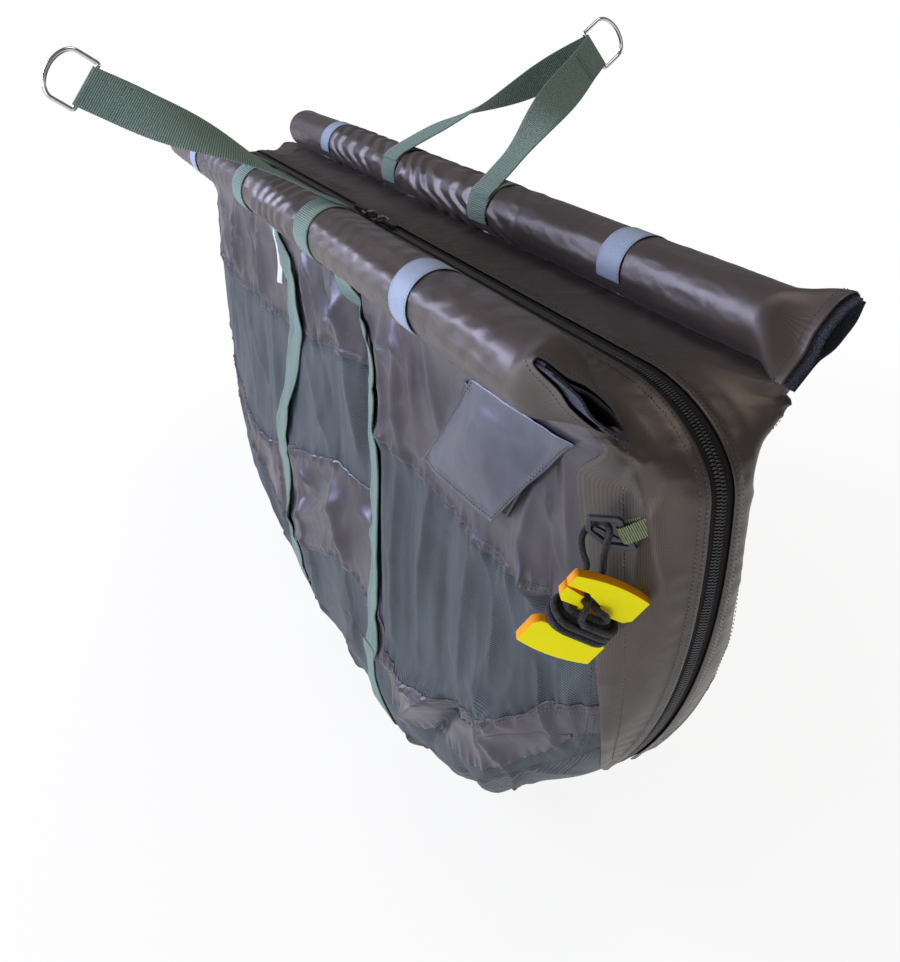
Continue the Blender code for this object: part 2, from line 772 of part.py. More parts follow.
def d_ring(side, material):
    """Steel D-ring, its bar inside the handle's loop, its bow pointing away from the float."""
    heading, across = handle_axes(side)
    bar = bar_centre(side)
    half = RING_INNER_WIDTH / 2 + RING_WIRE / 2
    corner = 0.0025
    bow = RING_DEPTH - half * 0.55
    points = [(-half + corner, 0), (half - corner, 0)]
    points += arc((half - corner, corner), corner, -60, 0, 2)
    points += [(half * math.cos(a), bow + half * 0.62 * math.sin(a))
               for a in (math.pi * step / 12 for step in range(13))]
    points += arc((-half + corner, corner), corner, 180, 240, 2)
    route = [bar + across * x + heading * y for x, y in points]
    return tube_along(f"d_ring_{SIDE_NAMES[side]}", route, RING_WIRE / 2, material, cyclic=True)


# Zip hardware

def zip_slider(end, material):
    """Slider body on the coil, with an eye for its pull."""
    half, rise = SLIDER_LENGTH / 2, SLIDER_HEIGHT
    outline = [(-half, 0.0), (half, 0.0), (half, 0.0024), (half * 0.55, 0.0030)]
    outline += [(half * 0.42, rise * 0.8), (half * 0.2, rise), (-half * 0.2, rise)]
    outline += [(-half * 0.42, rise * 0.8), (-half * 0.55, 0.0030), (-half, 0.0024)]
    eye = arc((0, SLIDER_EYE_HEIGHT), SLIDER_EYE_RADIUS, 0, 330, 11)
    origin = Vector((end * SLIDER_OFFSET, 0, COVER_LEVEL + CLEARANCE))
    frame = frame_of(origin, Vector((1, 0, 0)), Vector((0, 0, 1)))
    return flat_outline(f"zip_slider_{END_NAMES[end]}", [outline, eye], SLIDER_WIDTH, material,
                        frame)


def eye_centre(end):
    return Vector((end * SLIDER_OFFSET, 0, COVER_LEVEL + CLEARANCE + SLIDER_EYE_HEIGHT))


def pull_ring(end, material):
    """Metal pull whose bar turns in the slider's eye, laid out flat along the zip."""
    half, bar = RING_WIDTH / 2, RING_BAR
    far = RING_LENGTH
    outline = [(-bar / 2, -half), (far, -half), (far + 0.002, -half + 0.003)]
    outline += [(far + 0.002, half - 0.003), (far, half), (-bar / 2, half)]
    window = [(bar / 2, -half + bar), (bar / 2, half - bar), (far - bar, half - bar),
              (far - bar, -half + bar)]
    frame = frame_of(eye_centre(end), Vector((end, 0, 0)), Vector((0, 1, 0)))
    return flat_outline(f"pull_ring_{END_NAMES[end]}", [outline, window], RING_THICKNESS, material,
                        frame)


def pull_grip(end, material):
    """Rubber grip behind the metal ring of a pull."""
    start = RING_LENGTH + 0.002 + CLEARANCE
    half = GRIP_WIDTH / 2
    outline = [(start, -half * 0.6), (start + GRIP_LENGTH * 0.7, -half)]
    outline += [(start + GRIP_LENGTH + x, y)
                for x, y in arc((-half, 0), half, -90, 90, 6)]
    outline += [(start + GRIP_LENGTH * 0.7, half), (start, half * 0.6)]
    frame = frame_of(eye_centre(end), Vector((end, 0, 0)), Vector((0, 1, 0)))
    return flat_outline(f"pull_grip_{END_NAMES[end]}", [outline], 0.0034, material, frame)


# Pocket and side tab

def pocket_swell(x, z):
    """How far the pocket's cloth stands off the side panel at x and z."""
    along = max(0.0, min(1.0, (x - POCKET_BACK) / (POCKET_FRONT - POCKET_BACK)))
    down = max(0.0, min(1.0, (POCKET_TOP - z) / (POCKET_TOP - POCKET_BOTTOM)))
    open_share = lerp(POCKET_TOP_SHARE, 1.0, down)
    return POCKET_BULGE * math.sin(math.pi * along) * math.sin(math.pi * open_share)


def pocket_panel(name, back, front, top, bottom, lift, columns, material):
    """A cloth patch over the near side panel that follows the pocket's swell."""
    def place(u, v):
        x, z = lerp(back, front, u), lerp(top, bottom, v)
        return hull_point(NEAR, x, z, lift + pocket_swell(x, z))

    return cloth_panel(name, columns, 5, place, material, offset=1.0)


def pocket_body(material):
    return pocket_panel("pocket_body", POCKET_BACK, POCKET_FRONT, POCKET_TOP, POCKET_BOTTOM,
                        POCKET_LIFT, 10, material)


def pocket_flap(material):
    return pocket_panel("pocket_flap", POCKET_BACK - FLAP_OVERHANG, POCKET_FRONT + FLAP_OVERHANG,
                        FLAP_TOP, FLAP_BOTTOM, 2 * POCKET_LIFT + CLOTH, 12, material)


def side_tab(material):
    """Small plain tab sewn in beside the front strap."""
    start = STRAP_POSITION - WEBBING_WIDTH / 2 - CLEARANCE

    def place(u, v):
        z = lerp(TAB_TOP, TAB_BOTTOM, v)
        return hull_point(NEAR, start - TAB_WIDTH * u, z, CLEARANCE)

    return cloth_panel("side_tab", 1, 3, place, material, TAPE, offset=1.0)


# Clip

def clip_point(across, up, out=0.0):
    """Point of the clip in its own directions: across, up and out from the pouch."""
    outward = CLIP_ACROSS.cross(CLIP_UP)
    return CLIP_CENTRE + CLIP_ACROSS * across + CLIP_UP * up + outward * out


def clip_frame_matrix():
    return frame_of(CLIP_CENTRE, CLIP_ACROSS, CLIP_UP)


def clip_frame(material):
    """Moulded snap clip: a slanted frame with one open corner that its gate closes."""
    outer = [(-0.0150, 0.0000), (-0.0150, 0.0090), (-0.0130, 0.0110), (0.0060, 0.0110),
             (0.0085, 0.0095), (0.0190, -0.0110), (0.0175, -0.0130), (0.0000, -0.0120),
             (-0.0085, -0.0060)]
    hole = [(-0.0115, 0.0010), (-0.0115, 0.0075), (0.0045, 0.0075), (0.0130, -0.0092),
            (0.0008, -0.0088), (-0.0062, -0.0035)]
    return flat_outline("clip_frame", [outer, hole], CLIP_THICKNESS, material,
                        clip_frame_matrix(), bevel=0.0006)


def clip_gate(material):
    """Sprung tongue inside the clip's frame."""
    outline = [(-0.0100, 0.0008), (-0.0085, -0.0004), (0.0055, -0.0072), (0.0070, -0.0068),
               (0.0070, -0.0050), (-0.0060, 0.0020), (-0.0085, 0.0028), (-0.0100, 0.0022)]
    return flat_outline("clip_gate", [outline], CLIP_THICKNESS * 0.7, material,
                        clip_frame_matrix())


def clip_bar_ends():
    """Ends of the slanted bar that the webbing loop goes round, at the bar's middle line."""
    return (0.0072, 0.0075), (0.0152, -0.0085)


def clip_loop(material):
    """Webbing loop round the clip's slanted bar, its tails lying on the gusset."""
    top, bottom = (clip_point(*spot) for spot in clip_bar_ends())
    along = (bottom - top).normalized()
    middle = (top + bottom) / 2
    outward = CLIP_ACROSS.cross(CLIP_UP)
    away = along.cross(outward).normalized()
    if away.dot(CLIP_ACROSS) < 0:
        away.negate()
    reach = 0.0034 + CLEARANCE + TAPE / 2
    rise = CLIP_THICKNESS / 2 + 4 * CLEARANCE + TAPE / 2
    route = [(0.0218, rise * 0.3), (0.012, rise * 0.7), (0.004, rise), (0.0, rise)]
    route += [(-reach * math.sin(a), rise * math.cos(a))
              for a in (math.pi * step / 6 for step in range(1, 6))]
    route += [(0.0, -rise), (0.004, -rise), (0.012, -rise * 0.6), (0.0218, -rise * 0.2)]
    pairs = [edge_pair(middle + away * x + outward * y, CLIP_LOOP_WIDTH, along)
             for x, y in route]
    return ribbon("clip_loop", pairs, material, TAPE)


# Winder and cord

def winder_matrix():
    return frame_of(WINDER_CENTRE, WINDER_ACROSS, -WINDER_DOWN)


def winder_point(across, up, out):
    return winder_matrix() @ Vector((across, up, out))


def winder_outline():
    """Outline of the winder, anticlockwise; a slit joins the slanted slot to the left end."""
    half, tall = WINDER_WIDTH / 2, WINDER_HEIGHT / 2
    neck, gap = WAIST_WIDTH / 2, WAIST_GAP / 2
    cut = WINDER_CHAMFER
    edge = [(x, -tall - WINDER_CROWN * (1 - (x / half) ** 2))
            for x in (lerp(-half, half, step / 6) for step in range(7))]
    points = edge + [(half, -gap - cut), (half - cut, -gap), (neck, -gap)]
    points += [(neck, gap), (half - cut, gap), (half, gap + cut)]
    points += [(-x, -y) for x, y in edge]
    slit = lerp(gap, tall, SLIT_SHARE)
    middle = (SLOT_MIDDLE, gap + SLOT_ABOVE_WAIST)
    slant = math.radians(SLOT_SLANT)
    reach = Vector((math.cos(slant), math.sin(slant))) * SLOT_LENGTH / 2
    right = (middle[0] + reach.x, middle[1] + reach.y)
    left = (middle[0] - reach.x, middle[1] - reach.y)
    points.append((-half, slit + SLIT_WIDTH / 2))
    points.append((left[0] - SLOT_RADIUS * 0.6, slit + SLIT_WIDTH / 2))
    points += arc(left, SLOT_RADIUS, 90, 90 + SLOT_SLANT, 2)
    points += arc(right, SLOT_RADIUS, 90 + SLOT_SLANT, -90 + SLOT_SLANT, 6)
    points += arc(left, SLOT_RADIUS, -90 + SLOT_SLANT, -210, 4)
    points.append((-half, slit - SLIT_WIDTH / 2))
    points += [(-half, gap + cut), (-half + cut, gap), (-neck, gap)]
    points += [(-neck, -gap), (-half + cut, -gap), (-half, -gap - cut)]
    return points


def cord_winder(material):
    return flat_outline("cord_winder", [winder_outline()], WINDER_THICKNESS, material,
                        winder_matrix())


def layer_radius(layer):
    first = WINDER_THICKNESS / 2 + CLEARANCE + CORD_DIAMETER / 2
    return first + layer * TURN_PITCH


def stadium(turn, radius):
    """Point of one turn round the waist: turn 0 starts at the back, middle, going across."""
    straight = WAIST_WIDTH
    bend = math.pi * radius
    path = (turn % 1.0) * 2 * (straight + bend)
    half = straight / 2
    if path < half:
        return path, -radius
    path -= half
    if path < bend:
        angle = path / radius - math.pi / 2
        return half + radius * math.cos(angle), radius * math.sin(angle)
    path -= bend
    if path < straight:
        return half - path, radius
    path -= straight
    if path < bend:
        angle = path / radius + math.pi / 2
        return -half + radius * math.cos(angle), radius * math.sin(angle)
    path -= bend
    return -half + path, -radius


def winding_route():
    """The wound cord: down the waist in the inner layer, back up in the outer one."""
    top = TURN_PITCH * TURNS_PER_LAYER / 2
    climb = 0.5
    total = 2 * TURNS_PER_LAYER
    points = []
    for step in range(round(total * POINTS_PER_TURN) + 1):
        turn = step / POINTS_PER_TURN
        if turn <= TURNS_PER_LAYER:
            layer, up = 0.0, top - TURN_PITCH * turn
        elif turn <= TURNS_PER_LAYER + climb:
            layer, up = (turn - TURNS_PER_LAYER) / climb, -top
        else:
            layer, up = 1.0, -top + TURN_PITCH * (turn - TURNS_PER_LAYER - climb)
        across, out = stadium(turn + 0.5, layer_radius(layer))
        points.append(winder_point(across, up, out))
    return points


def least_gap(points, diameter):
    """Least clear distance of a wound tube to itself, measured between points of unlike turns."""
    least = 1.0
    apart = POINTS_PER_TURN // 2
    for index, point in enumerate(points):
        for other in points[index + apart:]:
            least = min(least, (point - other).length - diameter)
    return least


def cord_winding(material):
    route = winding_route()
    print("cord winding: length", round(sum((b - a).length for a, b in zip(route, route[1:])), 3),
          "least gap mm", round(least_gap(route, CORD_DIAMETER) * 1000, 2))
    return tube_along("cord_winding", route, CORD_DIAMETER / 2, material, resolution=1)


def smooth_route(points, steps):
    """Catmull-Rom curve through points, steps points to a span."""
    spots = [points[0] * 2 - points[1], *points, points[-1] * 2 - points[-2]]
    route = []
    for before, start, end, after in zip(spots, spots[1:], spots[2:], spots[3:]):
        for step in range(steps):
            t = step / steps
            route.append(0.5 * (2 * start + (end - before) * t
                                + (2 * before - 5 * start + 4 * end - after) * t * t
                                + (3 * start - before - 3 * end + after) * t ** 3))
    route.append(points[-1])
    return route


def lead_points():
    """First and last points of the free cord, in line with the winding's two ends."""
    winding = winding_route()
    start, before = winding[-1], winding[-2]
    begin, after = winding[0], winding[1]
    leave = (start - before).normalized()
    arrive = (after - begin).normalized()
    gap = CLEARANCE
    return {
        "first": [start + leave * gap, start + leave * (gap + CORD_DIAMETER)],
        "last": [begin - arrive * (gap + CORD_DIAMETER), begin - arrive * gap],
    }


def cord_lead(material):
    """The cord from the winding through the slot up to the clip, round it and back."""
    ends = lead_points()
    via = [winder_point(*(MILLIMETRE * value for value in spot)) for spot in LEAD_THROUGH_SLOT]
    via += [clip_point(*(MILLIMETRE * value for value in spot)) for spot in LEAD_ROUND_CLIP]
    via += [winder_point(*(MILLIMETRE * value for value in spot)) for spot in LEAD_BACK]
    route = smooth_route([*ends["first"], *via, *ends["last"]], 3)
    print("cord lead: length", round(sum((b - a).length for a, b in zip(route, route[1:])), 3))
    return tube_along("cord_lead", route, CORD_DIAMETER / 2, material)


def build_side(side, cloth, net, webbing):
    """Everything sewn to one side of the sling."""
    name = SIDE_NAMES[side]
    foam_float(side, principled("foam_" + name, (0.05, 0.05, 0.055), 0.9))
    float_sleeve(side, cloth)
    side_band(side, "top_band", lambda along: PANEL_TOP, lambda along: MESH_TOP_LEVEL,
              TOP_BAND_ROWS, cloth)
    side_band(side, "mesh_window", lambda along: MESH_TOP_LEVEL, mesh_bottom, MESH_ROWS, net)
    side_band(side, "mid_band", mesh_bottom, belly_seam, MID_BAND_ROWS, cloth)
    zip_line_piece(side, "cover", TAPE_EDGE + CLEARANCE, None, 2, cloth, CLOTH)
    zip_line_piece(side, "zip_tape", COIL_WIDTH + 2 * CLEARANCE, TAPE_EDGE - CLEARANCE, 1,
                   principled("zip_tape_" + name, (0.012, 0.012, 0.014), 0.8), CLOTH)
    zip_line_piece(side, "zip_coil", CLEARANCE, COIL_WIDTH, 1,
                   principled("zip_coil_" + name, (0.02, 0.02, 0.022), 0.4), COIL_THICKNESS)
    for end in (BACK, FRONT):
        side_strap(side, end, webbing)
        reflective_band(side, end, principled("reflective", (0.60, 0.68, 0.80), 0.3))
    velcro_strip(side, -1, "velcro_hook", principled("velcro_hook", (0.02, 0.022, 0.035), 0.9))
    velcro_strip(side, 1, "velcro_loop", principled("velcro_loop", (0.03, 0.03, 0.045), 0.95))
    webbing_handle(side, webbing)
    d_ring(side, principled("steel", (0.62, 0.62, 0.64), 0.22, 1.0))


def build():
    cloth = principled("sling_nylon", (0.075, 0.062, 0.052), 0.35)
    net = principled("sling_mesh", (0.045, 0.065, 0.080), 0.7)
    webbing = principled("sling_webbing", (0.10, 0.17, 0.135), 0.75)
    cord = principled("braided_cord", (0.015, 0.015, 0.017), 0.8)
    plastic = principled("moulded_plastic", (0.025, 0.027, 0.034), 0.4)
    for side in (NEAR, FAR):
        build_side(side, cloth, net, webbing)
    belly_panel(net)
    for end in (BACK, FRONT):
        belly_strap(end, webbing)
        zip_slider(end, principled("slider_metal", (0.03, 0.03, 0.03), 0.35, 0.8))
        pull_ring(end, principled("pull_metal", (0.60, 0.60, 0.62), 0.3, 1.0))
        pull_grip(end, principled("pull_rubber", (0.015, 0.015, 0.016), 0.7))
    pocket_body(cloth)
    pocket_flap(cloth)
    side_tab(principled("woven_tab", (0.75, 0.75, 0.73), 0.8))
    clip_frame(plastic)
    clip_gate(plastic)
    clip_loop(principled("loop_webbing", (0.13, 0.15, 0.07), 0.8))
    cord_winder(principled("winder_foam", (0.90, 0.78, 0.01), 0.55))
    cord_winding(cord)
    cord_lead(cord)


clear_scene()
PARTS = new_collection("weigh_sling")
build()
bpy.context.view_layer.update()
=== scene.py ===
"""Looks of the weigh sling: coated nylon, mesh, webbing, zip, clip, cord and winder."""

import math

import bmesh
import bpy
import numpy as np
from bpy.props import FloatProperty, FloatVectorProperty, IntProperty, PointerProperty
from mathutils import Matrix, Vector, noise


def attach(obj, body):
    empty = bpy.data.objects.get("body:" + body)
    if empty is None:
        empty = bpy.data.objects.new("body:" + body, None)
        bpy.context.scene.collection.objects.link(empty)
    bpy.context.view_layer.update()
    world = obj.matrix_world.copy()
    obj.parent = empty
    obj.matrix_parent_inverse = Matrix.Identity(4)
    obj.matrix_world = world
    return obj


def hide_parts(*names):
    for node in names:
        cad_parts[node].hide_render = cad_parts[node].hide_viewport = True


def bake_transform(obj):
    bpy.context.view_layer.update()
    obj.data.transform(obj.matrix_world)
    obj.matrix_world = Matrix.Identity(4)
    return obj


bl_info = {
    "name": "Weigh Sling",
    "version": (1, 0, 0),
    "blender": (4, 5, 0),
    "location": "3D View > Sidebar > Weigh Sling",
    "description": "Builds the cloth, webbing and fittings of a weigh sling on its frame",
    "category": "Add Mesh",
}

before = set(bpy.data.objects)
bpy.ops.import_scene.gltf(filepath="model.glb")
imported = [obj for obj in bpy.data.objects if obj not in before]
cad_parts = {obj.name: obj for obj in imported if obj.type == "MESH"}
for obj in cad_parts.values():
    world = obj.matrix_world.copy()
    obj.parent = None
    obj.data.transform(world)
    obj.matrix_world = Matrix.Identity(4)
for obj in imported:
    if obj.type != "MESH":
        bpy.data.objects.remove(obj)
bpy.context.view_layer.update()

NEAR, FAR = -1, 1
SIDES = {NEAR: "near", FAR: "far"}
BACK, FRONT = -1, 1
ENDS = {BACK: "back", FRONT: "front"}

# Pouch shape, as in the part
BOW_HALF_LENGTH = 0.615
BOW_LEVEL = -0.085
BELLY_DROP = 0.505
OUTLINE_POWER = 2.15
COVER_LEVEL = -0.025
SHOULDER_LENGTH = 0.100
SHOULDER_HEIGHT = COVER_LEVEL - BOW_LEVEL
CORNER_LENGTH = 0.064
CORNER_HEIGHT_SHARE = 0.8
CORNER_START = 0.030
CORNER_END = 0.068
SHOULDER_POWER_GAIN = 7.0
CORNER_POWER_GAIN = 20.0
TOP_HALF_WIDTH = 0.083
BELLY_HALF_WIDTH = 0.122
COVER_EDGE = TOP_HALF_WIDTH * 0.95
GUSSET_HALF_WIDTH = 0.058
GUSSET_TIP_LEVEL = -0.392
MESH_TOP_LEVEL = -0.170
PANEL_TOP = -0.0265
SEAM_POWER = 3.5
BELLY_SEAM_END = -0.290

# Sleeves, webbing, zip, handles and rings
CLEARANCE = 0.0003
WEBBING = 0.0014
FLOAT_Y = 0.095
SLEEVE_RADIUS = 0.0285
FOAM_END = 0.550
MOUTH_END = 0.590
STRAP_POSITION = 0.125
FRONT_STRAP_LEAN = 0.040
STRAP_BOTTOM = -0.470
MOUTH_HALF_WIDTH = 0.042
BAND_POSITION = 0.374
ZIP_TAPE_EDGE = 0.0100
TOOTH_PITCH = 0.0026
HANDLE_REACH = 0.190
HANDLE_RISE = 0.140
RING_WIRE = 0.0045
RING_INNER_WIDTH = 0.046
RING_DEPTH = 0.036

# Pocket; its foot slants back by 6 cm, and that of the flap over it by nearly 10 cm
POCKET_BACK = 0.400
POCKET_FRONT = 0.520
POCKET_TOP = -0.060
POCKET_BOTTOM = -0.155
POCKET_SLANT = -0.060
FLAP_BACK = 0.420
FLAP_FRONT = 0.546
FLAP_TOP = -0.050
FLAP_BOTTOM = -0.161
FLAP_SLANT = -0.096

# Clip and winder, as in the part
CLIP_CENTRE = Vector((0.5824, -0.0646, -0.1053))
CLIP_ACROSS = Vector((0.6, 0.8, 0.0))
CLIP_UP = Vector((0.0, 0.0, 1.0))
WINDER_CENTRE = Vector((0.5811, -0.0831, -0.1683))
WINDER_ACROSS = Vector((0.217, 0.836, -0.503)).normalized()
WINDER_DOWN = Vector((-0.423, -0.384, -0.821))
WINDER_WIDTH = 0.059
WINDER_HEIGHT = 0.0728
WINDER_THICKNESS = 0.0072
WINDER_CHAMFER = 0.0045
WINDER_CROWN = 0.004
WAIST_GAP = 0.0236
WAIST_WIDTH = 0.023
CORD_DIAMETER = 0.0048
TURNS_PER_LAYER = 3
TURN_PITCH = 0.00595

# Where the near side's seams lie as it hangs: levels by place along the sling, in metres
NEAR_SEAMS = {
    "mesh_top": [(-0.60, -0.172), (-0.30, -0.169), (-0.13, -0.162), (-0.04, -0.156),
                 (0.11, -0.130), (0.20, -0.138), (0.225, -0.173), (0.29, -0.184),
                 (0.376, -0.193), (0.45, -0.197), (0.62, -0.198)],
    "mesh_bottom": [(-0.62, -0.245), (-0.50, -0.310), (-0.40, -0.360), (-0.30, -0.385),
                    (-0.22, -0.372), (-0.13, -0.340), (-0.048, -0.312), (0.086, -0.270),
                    (0.185, -0.277), (0.225, -0.425), (0.255, -0.437), (0.349, -0.400),
                    (0.414, -0.377), (0.487, -0.325), (0.515, -0.292), (0.62, -0.245)],
    "band_bottom": [(-0.62, -0.290), (-0.50, -0.365), (-0.40, -0.420), (-0.30, -0.452),
                    (-0.20, -0.466), (-0.077, -0.460), (0.0, -0.428), (0.095, -0.392),
                    (0.159, -0.406), (0.185, -0.440), (0.222, -0.520), (0.62, -0.520)],
}
# Where the near side's nylon begins to turn in under the belly, towards its front
TURN_IN = 0.220
# How far that nylon reaches below the belly seam, by place along the sling
FOOT_WIDTHS = [(0.20, 0.044), (0.30, 0.046), (0.333, 0.038), (0.40, 0.047), (0.45, 0.040),
               (0.50, 0.022), (0.535, 0.003)]
# Where the near side's straps lie: places along the sling by level, upwards
NEAR_STRAPS = {
    BACK: [(-0.470, -0.125), (-0.321, -0.137), (-0.236, -0.095), (-0.164, -0.064),
           (-0.105, -0.069), (-0.059, -0.100), (-0.030, -0.125)],
    FRONT: [(-0.470, 0.168), (-0.440, 0.180), (-0.325, 0.200), (-0.220, 0.205),
            (-0.140, 0.200), (-0.080, 0.185), (-0.050, 0.150), (-0.030, 0.125)],
}


def lerp(start, end, share):
    """Value a share of the way from start to end."""
    return start + (end - start) * share


def smooth(low, high, value):
    """Rises softly from 0 at low to 1 at high."""
    share = max(0.0, min(1.0, (value - low) / (high - low)))
    return share * share * (3 - 2 * share)


def along_table(table, place):
    """Value at a place of a table of (place, value) pairs in rising order."""
    if place <= table[0][0]:
        return table[0][1]
    for (start, low), (end, high) in zip(table, table[1:]):
        if place <= end:
            return lerp(low, high, (place - start) / (end - start))
    return table[-1][1]


# Shape of the pouch

def depth_share(z):
    """Share of the way down from the bow's level to the keel."""
    return max(0.0, (BOW_LEVEL - z) / BELLY_DROP)


def outline_x(z):
    """Half length of the pouch at a level, on its outer corners."""
    if z > BOW_LEVEL:
        rise = min(1.0, (z - BOW_LEVEL) / (SHOULDER_HEIGHT * CORNER_HEIGHT_SHARE))
        return BOW_HALF_LENGTH - CORNER_LENGTH * (1 - math.sqrt(1 - rise * rise))
    share = min(1.0, depth_share(z))
    return BOW_HALF_LENGTH * (1 - share ** OUTLINE_POWER) ** (1 / OUTLINE_POWER)


def centre_x(z):
    """Half length at a level on the zip's line, where the shoulders round off."""
    if z <= BOW_LEVEL:
        return outline_x(z)
    rise = min(1.0, (z - BOW_LEVEL) / SHOULDER_HEIGHT)
    return BOW_HALF_LENGTH - SHOULDER_LENGTH * (1 - math.sqrt(1 - rise * rise))


def section_y(z):
    """Half width of the pouch at a level, in the middle of its length."""
    share = min(1.0, depth_share(z))
    return lerp(TOP_HALF_WIDTH, BELLY_HALF_WIDTH, share ** 1.5) * (1 - share ** 4) ** 0.25


def end_power(z):
    """How square the pouch is seen from above: the power of its oval."""
    rise = max(0.0, min(1.0, (z - BOW_LEVEL) / SHOULDER_HEIGHT))
    return (3.4 + 1.5 * depth_share(z) + SHOULDER_POWER_GAIN * rise ** 2
            + CORNER_POWER_GAIN * rise ** 6)


def hull_y(x, z):
    """Half width of the pouch at a place along it and a level."""
    length = outline_x(z)
    if abs(x) >= length:
        return 0.0
    power = end_power(z)
    return section_y(z) * (1 - (abs(x) / length) ** power) ** (1 / power)


def hull_x(y, z):
    """How far the pouch reaches along at a place across it and a level."""
    width = section_y(z)
    if abs(y) >= width:
        return 0.0
    length = lerp(centre_x(z), outline_x(z), smooth(CORNER_START, CORNER_END, abs(y)))
    power = end_power(z)
    return length * (1 - (abs(y) / width) ** power) ** (1 / power)


def keel_z(x, y):
    """Height of the underside at x and y, found from the keel upwards."""
    step = 0.008
    high = BOW_LEVEL - BELLY_DROP + step
    while hull_y(x, high) <= abs(y) and high < -0.250:
        high += step
    low = high - step
    for _ in range(16):
        middle = (low + high) / 2
        if hull_y(x, middle) > abs(y):
            high = middle
        else:
            low = middle
    return (low + high) / 2


def gusset_edge(z):
    """Half width of an end gusset at a level."""
    if z > BOW_LEVEL:
        rise = min(1.0, (z - BOW_LEVEL) / SHOULDER_HEIGHT)
        return lerp(GUSSET_HALF_WIDTH, COVER_EDGE, rise * rise)
    share = min(1.0, (BOW_LEVEL - z) / (BOW_LEVEL - GUSSET_TIP_LEVEL))
    return GUSSET_HALF_WIDTH * (1 - share ** 3) ** 0.6


def gusset_level(y):
    """Level at which an end gusset is as wide as y."""
    share = (1 - (y / GUSSET_HALF_WIDTH) ** (1 / 0.6)) ** (1 / 3)
    return lerp(BOW_LEVEL, GUSSET_TIP_LEVEL, share)


def side_end(z):
    """How far a side panel reaches along the sling at a level."""
    return hull_x(gusset_edge(z), z)


def mesh_bottom(along):
    """Level of the mesh's lower seam on a regular side."""
    return lerp(-0.400, -0.245, abs(along) ** SEAM_POWER)


def belly_seam(along):
    """Level at which a side meets the belly."""
    return lerp(STRAP_BOTTOM, BELLY_SEAM_END, abs(along) ** SEAM_POWER)


def seam_level(side, seam, along):
    """Height of a seam; along runs from -1 to 1 between the panel's two end seams."""
    if seam == "top":
        return PANEL_TOP
    regular = {"mesh_top": MESH_TOP_LEVEL, "mesh_bottom": mesh_bottom(along),
               "band_bottom": belly_seam(along)}[seam]
    if side == FAR:
        return regular
    z = regular
    for _ in range(24):
        z = (z + along_table(NEAR_SEAMS[seam], along * side_end(z))) / 2
    return max(z, belly_seam(along)) if seam == "band_bottom" else z


def strap_x(side, end, z):
    """Where a side strap lies; the near ones wander over the cloth as they go down."""
    if side == NEAR:
        return along_table(NEAR_STRAPS[end], z)
    if end == BACK:
        return -STRAP_POSITION
    share = max(0.0, min(1.0, (PANEL_TOP - z) / (PANEL_TOP - STRAP_BOTTOM)))
    return STRAP_POSITION + FRONT_STRAP_LEAN * share


# Folds of the cloth

# Long folds of the near side in metres: start x and z, end x and z, half width, and height
# before it is multiplied by FOLD_GAIN
NEAR_FOLDS = [
    (-0.015, -0.050, 0.003, -0.145, 0.012, 0.006),
    (0.040, -0.050, 0.060, -0.125, 0.014, -0.005),
    (0.096, -0.049, 0.113, -0.123, 0.012, 0.007),
    (0.150, -0.080, 0.160, -0.270, 0.016, -0.010),
    (0.235, -0.060, 0.230, -0.400, 0.014, 0.007),
    (0.267, -0.064, 0.272, -0.171, 0.010, 0.006),
    (0.325, -0.060, 0.346, -0.135, 0.012, 0.006),
    (0.372, -0.060, 0.330, -0.175, 0.012, -0.005),
    (-0.201, -0.082, -0.193, -0.160, 0.012, 0.006),
    (-0.255, -0.070, -0.250, -0.165, 0.014, -0.005),
    (-0.328, -0.089, -0.320, -0.158, 0.014, 0.006),
    (-0.430, -0.060, -0.410, -0.200, 0.018, 0.005),
    (-0.295, -0.232, -0.280, -0.333, 0.014, 0.005),
    (-0.230, -0.190, -0.220, -0.340, 0.014, -0.004),
    (-0.165, -0.192, -0.150, -0.312, 0.012, 0.006),
    (-0.017, -0.196, 0.052, -0.257, 0.012, 0.006),
    (0.030, -0.160, 0.085, -0.250, 0.012, -0.004),
    (0.111, -0.146, 0.136, -0.222, 0.010, 0.006),
    (0.260, -0.191, 0.247, -0.377, 0.010, 0.006),
    (0.288, -0.200, 0.280, -0.390, 0.010, -0.004),
    (0.323, -0.204, 0.308, -0.362, 0.010, 0.006),
    (0.360, -0.210, 0.350, -0.350, 0.012, -0.005),
    (0.404, -0.222, 0.389, -0.365, 0.011, 0.006),
    (0.450, -0.220, 0.440, -0.310, 0.010, 0.004),
    (-0.062, -0.328, -0.003, -0.342, 0.010, 0.007),
    (0.020, -0.299, 0.074, -0.304, 0.009, 0.005),
    (-0.112, -0.436, 0.083, -0.325, 0.016, 0.007),
    (-0.060, -0.380, 0.030, -0.350, 0.012, -0.006),
    (0.084, -0.305, 0.103, -0.375, 0.012, 0.008),
    (-0.097, -0.458, 0.040, -0.400, 0.012, 0.006),
    (0.364, -0.383, 0.277, -0.470, 0.010, 0.009),
    (0.379, -0.390, 0.315, -0.474, 0.008, -0.007),
    (0.417, -0.346, 0.445, -0.361, 0.010, 0.007),
    (0.240, -0.440, 0.340, -0.415, 0.012, 0.006),
    (0.506, -0.270, 0.516, -0.326, 0.008, 0.007),
    (0.470, -0.330, 0.430, -0.390, 0.010, 0.006),
    (0.493, -0.116, 0.479, -0.169, 0.008, 0.007),
    (0.479, -0.169, 0.498, -0.207, 0.008, 0.007),
    (0.508, -0.122, 0.525, -0.159, 0.007, 0.006),
    (0.515, -0.099, 0.510, -0.193, 0.006, -0.006),
    (0.525, -0.070, 0.535, -0.150, 0.008, 0.005),
]
FOLD_GAIN = 1.75
